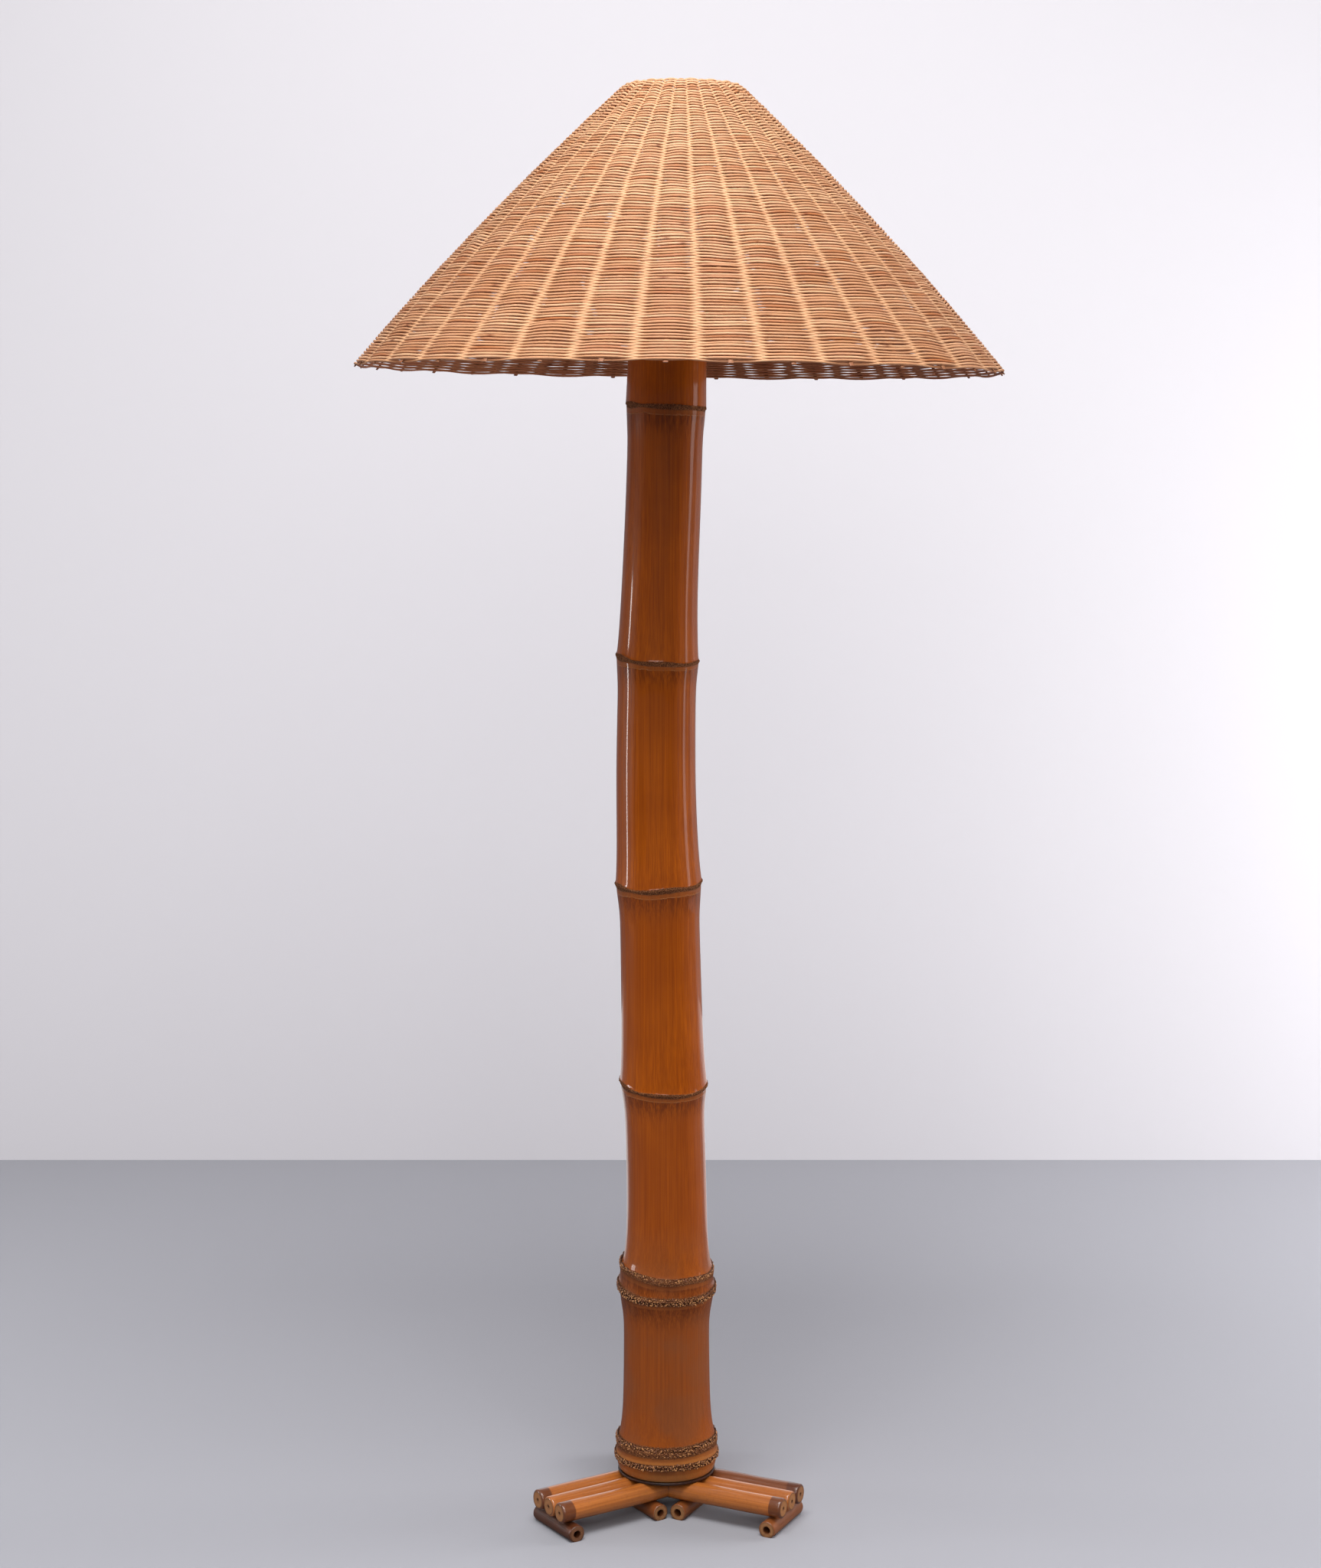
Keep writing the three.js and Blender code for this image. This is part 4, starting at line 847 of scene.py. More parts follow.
def culm_marks(height, shifted, edges):
    """The culm's marks, from the height and from the height less the ring's wander.

    under is the distance below the edge of the nearest ring above, ring is high on a ring, rooted
    near the root rings, tan below the second one, cut on the sawn foot, and tone is the lacquer's.
    """
    below = RINGS[:, None, None] - shifted
    under = np.where(below > edges, below - edges, 0.1)
    climbed = np.clip(length_at(shifted)[1], 0, 1)
    return {
        "under": np.minimum(under.min(axis=0), 0.1),
        "ring": np.exp(-(below / (edges * 1.25)) ** 4).max(axis=0),
        "rooted": np.clip((RINGS[ROOT_RINGS - 1] - shifted) / 0.07 + 1, 0, 1),
        "tan": np.clip((RINGS[1] - shifted) / 0.006, 0, 1),
        "cut": np.clip((0.0030 - height) / 0.001, 0, 1),
        "tone": np.interp(height, *LACQUER_DARKENING.T) + 0.14 * climbed,
    }


def culm_surface(sizes):
    """The culm as a grid: row = height, column = turn a.

    radius = swollen radius at the height less the ring's wander, plus the ridge or band of the
    nearest ring, plus a slight ripple of long flutes, and never more than foot edge + round x
    sqrt(height / round height), which rounds the foot. The surface closes through the bore.
    """
    rng = np.random.default_rng(SEED)
    near = (RINGS[:, None] + np.arange(-RING_ZONE, RING_ZONE + RING_STEP / 2, RING_STEP)).ravel()
    rows = np.concatenate([np.arange(0, CULM_LENGTH, CULM_STEP), near, [CULM_LENGTH]])
    rows = np.unique(np.round(rows, 4))
    rows = rows[(rows >= 0) & (rows <= CULM_LENGTH)]
    turn = circle(CULM_COLUMNS)
    height, angle = np.meshgrid(rows, turn, indexing="ij")
    single = SINGLE[:, None, None]
    reach = np.where(single, *WANDER_REACHES)
    weight = np.exp(-((height - RINGS[:, None, None]) / reach) ** 2)
    rise = (weight * ring_wander(turn)[:, None, :]).sum(axis=0)
    shifted = np.clip(height - rise, 0, CULM_LENGTH)
    # Rings
    stand = np.maximum(RING_RADII - swollen_radius(RINGS), 0)[:, None, None]
    rough = 1 + RIDGE_ROUGHNESS * ripple(angle, height, (24, 70, 200), rng)
    ridge = sizes.ridge * (1 + 0.18 * ripple(angle, 0 * height, (6, 9, 0), rng))
    half = np.where(single, ridge, BAND_HALF)
    bead = np.exp(-((shifted - RINGS[:, None, None]) / half) ** 2) * stand
    radius = swollen_radius(shifted) + (bead * np.where(single, rough, BAND_SHARE)).sum(axis=0)
    # Flutes, out of round, and rounded foot
    radius = radius + ripple(angle, height, (14, 34, 1.2), rng) * FLUTE_DEPTH
    radius = radius + ripple(angle, height, (4, 4, 1.5), rng) * OUT_OF_ROUND
    radius = np.minimum(radius, FOOT_EDGE + FOOT_ROUND * np.sqrt(height / FOOT_ROUND_HEIGHT))
    x = culm_shift(height) + radius * np.cos(angle)
    top = cut_top(x)
    z = np.where(height >= CULM_LENGTH - 0.0001, top, np.minimum(CULM_FOOT + height, top))
    outer = np.stack([x, radius * np.sin(angle), z], axis=-1)
    bands = np.array(STUB_ROWS + [0] * int(SINGLE.sum()))[:, None, None] * STUB_RISE / 2
    marks = culm_marks(height, shifted, np.where(single, ridge, bands))
    # Bore
    level, width = BORE[:, :1], BORE[:, 1:]
    x = culm_shift(level) + width * np.cos(turn)
    inner = np.stack([x, width * np.sin(turn), np.minimum(CULM_FOOT + level, cut_top(x))], axis=-1)
    points = np.concatenate([outer, inner])
    lay = points[..., [2, 0, 1]] - [0, BASE_SHIFT, 0]
    blank = np.zeros(inner.shape[:2])
    marks = {key: np.concatenate([value, blank + (key == "under")]) for key, value in marks.items()}
    return shell(points, True, lay=lay, **marks)


def stub_surface(number, sizes):
    """Cut root stubs of one root ring: many small blunt pegs, scattered about a few rows.

    A peg's point at step t and turn b is its foot + t x length x its direction + radius x
    profile(t) x (1.5 cos b x wide + 0.8 sin b x narrow), with the wide side turned at random. They
    stand nearly square to the culm, tilted up a little, and are shorter at the edges of the band.
    The mark tip runs from foot to tip and the mark tone is one random shade for each peg.
    """
    rng = np.random.default_rng(SEED + number)
    ring = RINGS[number]
    radius = float(swollen_radius(np.array([ring]))[0]) - STUB_SINK
    round_count = int(math.tau * radius / (sizes.stub * 2.3))
    band = STUB_ROWS[number]
    row, column = np.meshgrid(np.arange(band), np.arange(round_count), indexing="ij")
    stagger = 0.5 * (row % 2) + rng.uniform(-0.38, 0.38, row.shape)
    turn = (column + stagger).ravel() * (math.tau / round_count)
    rise = (row - (band - 1) / 2).ravel() * STUB_RISE + rng.normal(0, 0.0006, turn.shape)
    kept = rng.random(turn.shape) > 0.07
    turn, rise = turn[kept], rise[kept]
    size = sizes.stub * rng.uniform(0.62, 1.2, turn.shape)
    fall = np.exp(-(rise / (band * STUB_RISE / 2)) ** 4)
    length = (RING_RADII[number] - radius) * rng.uniform(0.55, 1.0, turn.shape) * (0.35 + 0.65 * fall)
    lean = rng.normal(0, 0.22, (2, len(turn)))
    along = np.stack([-np.sin(turn), np.cos(turn), 0 * turn], axis=-1)
    out = np.stack([np.cos(turn), np.sin(turn), 0.2 + lean[0]], axis=-1) + lean[1][:, None] * along
    out = unit(out)
    along = unit(along - (along * out).sum(axis=-1, keepdims=True) * out)
    up = np.cross(out, along)
    x = float(culm_shift(np.array([ring]))[0]) + radius * np.cos(turn)
    height = CULM_FOOT + ring + rise + ring_wander(turn)[number]
    foot = np.stack([x, radius * np.sin(turn), height], axis=-1)
    t = np.array([-0.5, 0.4, 0.85, 1.0])
    profile = np.array([1.0, 1.0, 0.86, 0.5])
    b = circle(STUB_SIDES)
    axis = foot[:, None, :] + (t[None, :] * length[:, None])[..., None] * out[:, None, :]
    spin = rng.uniform(0, math.pi, (len(turn), 1))
    wide = np.cos(spin) * along + np.sin(spin) * up
    narrow = np.cos(spin) * up - np.sin(spin) * along
    section = 1.5 * np.cos(b)[:, None] * wide[:, None, None, :]
    section = section + 0.8 * np.sin(b)[:, None] * narrow[:, None, None, :]
    points = axis[:, :, None, :] + (size[:, None] * profile[None])[:, :, None, None] * section
    tip = np.broadcast_to(np.array([0, 0.35, 0.9, 1.0])[None, :, None], points.shape[:3])
    tone = np.broadcast_to(rng.random(len(turn))[:, None, None], points.shape[:3])
    return shell(points, tip=tip, tone=tone)


# Foot


def along_x(x, radius, turn, offset, centre):
    """Points (x, offset + radius x cos a, centre + radius x sin a) of a round piece along X."""
    return np.stack([x, offset + radius * np.cos(turn), centre + radius * np.sin(turn)], axis=-1)


def cane_surface(offset, seed, band_depth):
    """A leg cane along X: row = place along it, column = turn a.

    point = (x, offset + radius x cos a, centre + radius x sin a). The inner end is cut on the two
    planes of its leg's sector, x = tip + |y| / tan 60. The outer end is rounded and its cut face
    runs in to a pith hole.
    """
    rng = np.random.default_rng(SEED + seed)
    turn = circle(48)
    mitre = math.tan(math.pi / 3)
    start = MITRE_TIP + np.abs(offset + CANE_RADIUS * np.cos(turn)) / mitre
    end = CANE_REACH - CANE_EDGE
    x = start[None] + np.linspace(0, 1, 40)[:, None] * (end - start[None])
    radius = CANE_RADIUS - CANE_INSET + CANE_RIPPLE * ripple(turn[None], x, (6, 3, 14), rng)
    edge = np.linspace(0, math.pi / 2, 5)[1:, None]
    x = np.concatenate([x, end + CANE_EDGE * np.sin(edge) + 0 * turn])
    radius = np.concatenate([radius, radius[-1:] - CANE_EDGE * (1 - np.cos(edge))])
    face = np.array([0.009, 0.005, 0.0024, 0.0019, 0.0017])[:, None]
    depth = np.array([0.0, 0.0, 0.0, 0.0006, PITH_DEPTH])[:, None]
    x = np.concatenate([x, CANE_REACH - depth + 0 * turn])
    radius = np.concatenate([radius, face + 0 * turn])
    poles = [[MITRE_TIP + abs(offset) / mitre, offset, CANE_CENTRE],
             [CANE_REACH - PITH_DEPTH, offset, CANE_CENTRE]]
    cut, rim = np.zeros((2, *x.shape))
    cut[-6:] = 1
    # The mark rim: a darker edge, and painted shade deep in the pith hole
    rim[-7:] = np.array([0.5, 0.8, 0.15, 0.0, 0.45, 1, 1])[:, None]
    band = np.clip((x - (CANE_REACH - band_depth)) / 0.004, 0, 1) * (band_depth > 0)
    return shell(along_x(x, radius, turn, offset, CANE_CENTRE), poles=poles, cut=cut, rim=rim,
                 band=band, lay=along_x(x + 0.37 * seed, radius, turn, 0, 0))


def cross_cane_surface(reach, seed):
    """A short hollow cane across a leg, closed through its bore and planed flat underneath.

    point = (reach + radius x cos a, y, centre + radius x sin a), with no height below the floor.
    """
    rng = np.random.default_rng(SEED + 50 + seed)
    half = FOOT_LENGTH / 2
    turn = circle(48)
    lips = np.linspace(0, math.pi / 2, 4)[1:]
    y = np.linspace(-half + FOOT_EASE, half - FOOT_EASE, 30)
    y = np.concatenate([y, half - FOOT_EASE + FOOT_EASE * np.sin(lips), [half, half, half - 0.001]])
    radius = np.full(len(y), FOOT_RADIUS - 0.0001)
    radius[30:33] -= FOOT_EASE * (1 - np.cos(lips))
    radius[33:] = [FOOT_BORE + 0.0028, FOOT_BORE + 0.0004, FOOT_BORE]
    cut, rim = np.zeros((2, len(y)))
    cut[32:35] = 1
    # The mark rim: a darker edge, and painted shade inside the bore
    rim[32:] = [0.7, 0.1, 0.5, 1]
    # The other end repeats the last six rows
    y = np.concatenate([y, -y[::-1][:6]])[:, None]
    radius, cut, rim = (np.concatenate([part, part[::-1][:6]])[:, None] for part in (radius, cut, rim))
    radius = radius + CROSS_CANE_RIPPLE * ripple(turn[None], y, (5, 3, 16), rng)
    y, cut, rim = (part + 0 * turn for part in (y, cut, rim))
    points = along_x(y, radius, turn, reach, FOOT_RADIUS - FOOT_FLAT)[..., [1, 0, 2]]
    points[..., 2] = np.maximum(points[..., 2], 0)
    return shell(points, True, cut=cut, band=0 * cut, rim=rim,
                 lay=along_x(y + 0.53 * seed, radius, turn, 0, 0))


# Shade


def shade_wall(share):
    """Middle of the woven wall at a share of its height, and its outward direction.

    Its outer face is a straight cone from rim to top, swollen by 4 x bulge x share x (1 - share).
    Returns radius, height, and the direction's parts along radius and height.
    """
    run = TOP_RADIUS - RIM_RADIUS + 4 * BULGE * (1 - 2 * share)
    length = np.hypot(run, SHADE_HEIGHT)
    out, up = SHADE_HEIGHT / length, -run / length
    radius = RIM_RADIUS + (TOP_RADIUS - RIM_RADIUS) * share + 4 * BULGE * share * (1 - share)
    return radius - WALL_HALF * out, share * SHADE_HEIGHT - WALL_HALF * up * share, out, up


def slope_table():
    """Shares of height and the length of slope up to each."""
    share = np.linspace(-0.01, 1.01, 600)
    radius, height, _, _ = shade_wall(share)
    steps = np.hypot(np.diff(radius), np.diff(height))
    return share, np.insert(np.cumsum(steps), 0, 0)


def on_shade(turn, share, outward):
    """Points at a turn round the shade and a share of its height, outward from the wall's middle."""
    radius, height, out, up = shade_wall(share)
    radius, height = radius + outward * out, height + outward * up
    return np.stack([radius * np.cos(turn), radius * np.sin(turn), height], axis=-1)


def wall_direction(turn, share):
    """The wall's outward direction."""
    _, _, out, up = shade_wall(share)
    return np.stack([out * np.cos(turn), out * np.sin(turn), up + 0 * turn], axis=-1)


def widened(points, middle, direction, factor):
    """Points moved off their middle by a factor, but not along the direction."""
    kept = ((points - middle) * direction).sum(axis=-1, keepdims=True) * direction
    return middle + kept + factor * (points - middle - kept)


def weave_path(sizes):
    """One strand wound round the shade from rim to top, in front of one stake and behind the next.

    outward = amplitude x c x sqrt((1 + wave^2) / (c^2 + wave^2)) with c = cos(17.5 x turn), where
    turn runs on over all the rounds; with 35 stakes each round then passes every stake on the other
    side from the round below. The rows lie a little closer at the rim than at the top, sway
    together over long stretches, and are nudged one by one over short ones. The last rounds are
    drawn tight. Returns the outward share too, from -1 behind a stake to 1 in front.
    """
    rng = np.random.default_rng(SEED + 7)
    steps = STEPS_PER_STAKE * STAKES
    turn = np.arange(sizes.rows * steps + 1) * math.tau / steps
    shares, lengths = slope_table()
    first = np.interp((PEG_LENGTH + sizes.strand / 2) / SHADE_HEIGHT, shares, lengths)
    last = np.interp(1.0, shares, lengths) - sizes.strand / 2
    wound = turn / turn[-1]
    along = first + (last - first) * wound * (1 - ROW_GROWTH / 2 * (1 - wound))
    fade = np.clip((along - first) / 0.02, 0, 1) * np.clip((last - along) / 0.004, 0, 1)
    sway = sizes.sway * ripple(turn, along, (40, 30, 16), rng) * fade
    nudge = sizes.nudge * wander(len(turn), 14, rng) * (0.3 + 0.7 * fade)
    along = along + sway + nudge
    share = np.interp(along, lengths, shares)
    c = np.cos(STAKES / 2 * turn)
    side = c * np.sqrt((1 + WAVE ** 2) / (c ** 2 + WAVE ** 2))
    amplitude = sizes.stake / 2 + sizes.strand / 2 - 0.0001
    tight = 0.45 + 0.55 * np.clip((last - along) / 0.009, 0, 1)
    outward = amplitude * tight * (1 + 0.05 * wander(len(turn), 10, rng)) * side
    radius = sizes.strand / 2 * (1 + 0.08 * np.clip(wander(len(turn), 50, rng), -1.6, 1.3))
    return turn, share, outward, radius, side


def weave_surfaces(sizes, count):
    """The strand as tubes: count lengths of it, cut so that each piece stays small.

    Its section is a little wider along the wall than through it, most so in front of or behind a
    stake. A painted shade mark is high where the strand runs behind a stake or faces inwards, the
    mark inside holds painted shade where it faces inwards only, a painted highlight mark is high
    where it passes from one side of the wall to the other, and the mark fleck sits at a few dark
    splices. Towards the top the painted shade weakens and the strand is painted paler, standing in
    for the brighter light up there.
    """
    rng = np.random.default_rng(SEED + 8)
    turn, share, outward, radius, side = weave_path(sizes)
    path = on_shade(turn, share, outward)
    direction = wall_direction(turn, share)
    points, lay = carried(path, direction, radius, STRAND_SIDES)
    spread = 1.10 + 0.32 * side[:, None, None] ** 2
    points = widened(points, path[:, None], direction[:, None], spread)
    rod = np.floor(lay[:, 0, 0] / ROD_LENGTH).astype(int)
    tones = rng.normal(0.45, 0.27, rod.max() + 2)
    # A random tone for each rod of strand, painted paler towards the top for the brighter light there
    tone = tones[rod] + 0.16 * wander(len(turn), 24, rng) - 0.42 * share ** 2
    fleck = np.zeros(len(turn))
    fleck[rng.choice(len(turn), SPLICES, replace=False)] = rng.uniform(0.3, 0.9, SPLICES)
    # Painted highlight where the strand crosses the wall, wider towards the top
    crossing = np.clip(1.15 - np.abs(side) / (0.7 + 0.4 * share ** 2), 0, 1)
    # Painted shade on the strand where it runs behind a stake
    behind = 0.2 * np.clip((-0.05 - side) / 0.45, 0, 1)
    share, tone, fleck, crossing, behind = (
        value[:, None] + np.zeros(STRAND_SIDES)
        for value in (share, np.clip(tone, 0, 1), fleck, crossing, behind))
    # The strand's inward faces, which take painted shade
    inwards = -lay[..., 1] / radius[:, None]
    inner = np.clip((inwards - 0.2 - 0.25 * share) / 0.6, 0, 1)
    # Painted shade behind the stakes and on inward faces, weaker towards the top
    hidden = np.maximum(behind, inner) * (1 - 0.25 * tone) * (1 - 0.4 * share ** 2)
    marks = {"lay": lay, "tone": tone, "hidden": hidden, "fleck": fleck,
             "crossing": crossing * (1 - inner), "inside": np.clip((inwards - 0.5) / 0.4, 0, 1)}
    cuts = np.linspace(0, len(turn) - 1, count + 1).astype(int)
    for low, high in zip(cuts[:-1], cuts[1:]):
        span = slice(low, high + 1)
        yield shell(points[span], **{key: value[span] for key, value in marks.items()})


def stake_surface(sizes):
    """The stakes: straight up the middle of the wall, sawn off below the rim and at the top."""
    rng = np.random.default_rng(SEED + 9)
    shares, lengths = slope_table()
    foot = np.interp(0, shares, lengths) + 0.0002
    top = np.interp(1, shares, lengths) - 0.0008
    along = np.concatenate([foot + np.array([0, 0.0008, 0.003]),
                            np.linspace(foot + 0.005, top, STAKE_ROWS)])
    share = np.interp(along, lengths, shares)
    turn = circle(STAKES)[:, None] + 0 * share
    share = share[None] + 0 * turn
    paths = on_shade(turn, share, 0)
    radii = sizes.stake / 2 * np.ones(paths.shape[:2])
    radii[:, 0] *= 0.9
    outward = wall_direction(turn, share)
    points, lay = carried(paths, outward, radii, STAKE_SIDES)
    flatness = sizes.stake_width / sizes.stake
    points = widened(points, paths[:, :, None, :], outward[:, :, None, :], flatness)
    lay[..., 0] += np.arange(STAKES)[:, None, None]
    tone = rng.uniform(0.2, 1, STAKES)[:, None, None] + np.zeros(points.shape[:3])
    # Painted shade on the stakes' inward faces; their sawn feet below the rim are darkened the same way
    hidden = np.clip(-lay[..., 1] / radii[..., None] / 0.6, 0, 1)
    hidden[:, :3] = 0.7
    none = 0 * hidden
    return shell(points, lay=lay, tone=tone, hidden=hidden, inside=none, fleck=none, crossing=none)


# Lampholder, bulb, harp, carrier and finial. Heights are in millimetres above the rim's plane.


def cap_surface():
    """The lampholder's cap: a drawn cup, rounded outside, closed round its inner wall."""
    outer = rounded([[5.3, 58], [8, 58], [8, 62], [13.9, 66], [18.6, 72.5], [18.6, 78]], 2.6, 6)
    inner = rounded([[17.7, 78], [17.7, 72.5], [12.9, 72.5], [8, 64], [5.3, 64]], 0.4, 3)
    return turned(millimetres(np.concatenate([outer, inner])), 72, True)


def shell_surface():
    """The lampholder's shell: a thin sleeve with two pressed beads and a rolled mouth."""
    height = np.linspace(73, 118, 91)
    beads = sum(size * np.exp(-((height - place) / 0.9) ** 2)
                for size, place in ((0.45, 82), (0.45, 110), (0.75, 117)))
    outer = np.stack([17.3 + beads, height], axis=-1)
    return turned(millimetres(np.concatenate([outer, [[16.6, 118], [16.6, 73]]])), 72, True)


def key_surface():
    """The switch key: a shaft and an oval thumb piece with a rounded edge, pointing to -Y."""
    shaft = rounded([[0, 5.4], [2, 5.4], [2, 25], [0, 25]], 0.5)
    shaft = moved(turned(millimetres(shaft), 24), (0, 0, 0.0828), [[1, 0, 0], [0, 0, -1], [0, 1, 0]])
    edge = np.linspace(-math.pi / 2, math.pi / 2, 9)
    rim = np.stack([0.86 + 0.14 * np.cos(edge), 1.6 * np.sin(edge)], axis=-1)
    points, *rest = turned(np.concatenate([[[0, -1.6]], rim, [[0, 1.6]]]))
    return merged([shaft, (millimetres(points * [8.5, 6.5, 1] + [0, -30.9, 82.8]), *rest)])


def glass_surface():
    """The bulb's glass: a smooth pear through ten points, with its inner face a millimetre inside."""
    outer = smooth_profile([[12.4, 14], [12.4, 24.5], [16.4, 38], [22.0, 51.9], [27.6, 64.2], [30, 77],
                            [27.7, 88.5], [21.2, 98.2], [11.5, 104.7], [0.03, 107]], 80)
    inner = np.stack([np.maximum(outer[:, 0] - 1, 0.02), np.minimum(outer[:, 1], 106)], axis=-1)[::-1]
    return turned(millimetres(np.concatenate([outer, inner]) + [0, 95.8]), 72, True)


def bulb_cap_surface():
    """The bulb's cap with its tip, insulating cone and rolled thread."""
    foot = rounded([[0, 95.8], [4.5, 95.8], [5.2, 97], [12.2, 99.3], [13.2, 100]], 0.6, 4)
    height = np.linspace(100.4, 120.3, 100)
    screw = np.stack([13.2 + 0 * height, height], axis=-1)
    profile = np.concatenate([foot, screw, [[12.5, 120.3], [12.4, 118], [0, 118]]])
    return turned(millimetres(profile), 96, thread=(0.0008, 0.0036, 0.1006, 0.1200))


def filament_surface():
    """The glass stem with a flared foot, and the lead wires with the filament between them."""
    stem = rounded([[0, 109.8], [11, 109.8], [11, 110.8], [4, 114], [3, 119], [3, 147.8], [0, 150.6]],
                   1.8, 5)
    wire = [[-1.5, 144.8], [-11, 161.8], [-5, 163.5], [0, 164.6], [5, 163.5], [11, 161.8], [1.5, 144.8]]
    return merged([turned(millimetres(stem), 32), bent_wire(wire, 90, 5, 0.0005, 8)])


def bent_wire(corners, count, reach, radius, sides):
    """A round wire along an eased path through [x, height] corners in millimetres."""
    path = eased(millimetres([[x, 0, z] for x, z in corners]), count, reach)
    points, lay = carried(path, Y_AXIS, radius, sides)
    return shell(points, lay=lay)


def harp_surface():
    """The harp: wire carried along an eased bow of eleven corners a side, with its boss and stud."""
    side = [[34, 72.5], [34, 97], [41, 116], [49.5, 137], [55.5, 168], [56, 195], [50.6, 247], [40, 276],
            [30.6, 292], [20, 303.5], [8.4, 310.6]]
    bow = bent_wire(side + [[-x, z] for x, z in side[::-1]], 220, 9, 0.00225, 20)
    boss = rounded([[0, 307], [6.5, 307], [6.5, 316], [3, 316], [3, 334.5], [0, 334.5]], 0.8, 4)
    return merged([bow, turned(millimetres(boss), 40)])


def ferrule_surface(hand):
    """A locking ferrule: a sleeve with softened ends and three turned grooves."""
    height = np.linspace(66, 79, 53)
    groove = sum(0.3 * np.exp(-((height - place) / 0.4) ** 2) for place in (70, 72.5, 75))
    outer = np.stack([4.35 - groove, height], axis=-1)
    profile = np.concatenate([[[2.85, 65.5], [3.9, 65.5], [4.25, 65.65]], outer,
                              [[4.25, 79.35], [3.9, 79.5], [2.85, 79.5]]])
    return moved(turned(millimetres(profile), 40, True), (hand * 0.034, 0, 0))


def carrier_surface():
    """The shade's carrier: a wire ring, three bent arms and a washer with softened edges."""
    reach, turn = CARRIER_RADIUS * 1000, circle(120)
    ring = millimetres(np.stack([reach * np.cos(turn), reach * np.sin(turn), 0 * turn + 338], axis=-1))
    points, lay = carried(ring, np.array([0, 0, 1.0]), 0.0022, 16, closed=True)
    arm = bent_wire([[11.4, 317.3], [reach * 0.28, 321.5], [reach * 0.6, 328.5], [reach, 338]],
                    40, 6, 0.0022, 16)
    arms = [moved(arm, turn=about_z(math.pi / 2 + number * 2 * math.pi / 3)) for number in range(3)]
    washer = rounded([[3.45, 316.3], [12.5, 316.3], [12.5, 318.3], [3.45, 318.3]], 0.5, 3)
    return merged([shell(points, True, lay=lay), *arms, turned(millimetres(washer), 64, True)])


def finial_surface():
    """The finial: a turned knob on a neck and a foot, with its blind bore."""
    knob = smooth_profile([[0.03, 23.4], [2.2, 23.25], [4.3, 22.5], [6.9, 20.2], [8.3, 17.2],
                           [8.3, 14.6], [7, 11.7], [5.4, 9.2], [5.1, 7], [5.6, 5.2]], 50)
    foot = rounded([[5.8, 4.8], [9, 3.8], [9, 0], [3.4, 0]], 0.6, 4)
    profile = np.concatenate([[[0, 23.4]], knob, foot, [[3.4, 17], [0, 17]]]) + [0, 318.6]
    return turned(millimetres(profile), 64)


# Operators


def fitting(name, body, slot, surface, replaced, sharp=FITTING_SHARP):
    """A piece on the lamp's leaning axis, in the usual finish of its slot."""
    piece(f"{name}_surface", body, on_fitting(surface), SLOT_FINISHES[slot], [replaced], sharp)


class LAMP_OT_finishes(bpy.types.Operator):
    """Make the finishes and give them to the pieces that are kept from the frame"""

    bl_idname = "lamp.finishes"
    bl_label = "Finishes"

    def execute(self, context):
        colours = context.scene.lamp_colours
        bamboo_finish(colours)
        stub_finish(colours)
        cane_finish("leg_cane", colours.cane_light, colours.cane_deep, colours.cane_cut, 0.8)
        rattan_finish("rattan_strand", colours.rattan_light, colours.rattan_mid, colours.rattan_deep,
                      colours.rattan_blush, colours.rattan_shade_colour)
        for make, name, *values in PLAIN_FINISHES:
            make(name, *(linear(*value) if isinstance(value, tuple) else value for value in values))
        own = {node: finish for finish, nodes in CARRIED_FINISHES.items() for node in nodes}
        for name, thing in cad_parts.items():
            finish = own.get(name)
            if not finish and ("nail" in name or "screw" in name):
                finish = "plated_steel"
            if finish:
                for slot in thing.material_slots:
                    slot.material = bpy.data.materials[finish]
        return {"FINISHED"}


class LAMP_OT_culm(bpy.types.Operator):
    """Build the bamboo culm"""

    bl_idname = "lamp.culm"
    bl_label = "Culm"

    def execute(self, context):
        surface = culm_surface(context.scene.lamp_sizes)
        piece("culm_surface", "root", surface, "lacquered_bamboo", ["culm"])
        return {"FINISHED"}


class LAMP_OT_root_stubs(bpy.types.Operator):
    """Set the cut root stubs on the four root rings"""

    bl_idname = "lamp.root_stubs"
    bl_label = "Root stubs"

    def execute(self, context):
        for number in range(ROOT_RINGS):
            surface = stub_surface(number, context.scene.lamp_sizes)
            piece(f"root_stubs_{number + 1}", "root", surface, "root_stubs")
        return {"FINISHED"}


class LAMP_OT_leg_canes(bpy.types.Operator):
    """Build the nine leg canes"""

    bl_idname = "lamp.leg_canes"
    bl_label = "Leg canes"

    def execute(self, context):
        for number, (leg, row) in enumerate((leg, row) for leg in LEG_ANGLES for row in (1, 2, 3)):
            surface = on_leg(cane_surface((row - 2) * CANE_SPACING, number, CANE_BANDS[number]), leg)
            finish = "brown_cane" if (leg, row) == ("right", 3) else "leg_cane"
            piece(f"{leg}_cane_{row}_surface", "root", surface, finish,
                  [f"{leg}_leg_cane_{row}"], SHARP)
        return {"FINISHED"}


class LAMP_OT_cross_canes(bpy.types.Operator):
    """Build the six cross canes that the legs stand on"""

    bl_idname = "lamp.cross_canes"
    bl_label = "Cross canes"

    def execute(self, context):
        places = ((leg, place) for leg in LEG_ANGLES for place in FOOT_REACHES)
        for number, (leg, place) in enumerate(places):
            surface = on_leg(cross_cane_surface(FOOT_REACHES[place], number), leg)
            finish = "dark_cane" if (leg, place) == ("left", "outer") else "cross_cane"
            piece(f"{leg}_{place}_foot_surface", "root", surface, finish,
                  [f"{leg}_{place}_foot"], SHARP)
        return {"FINISHED"}


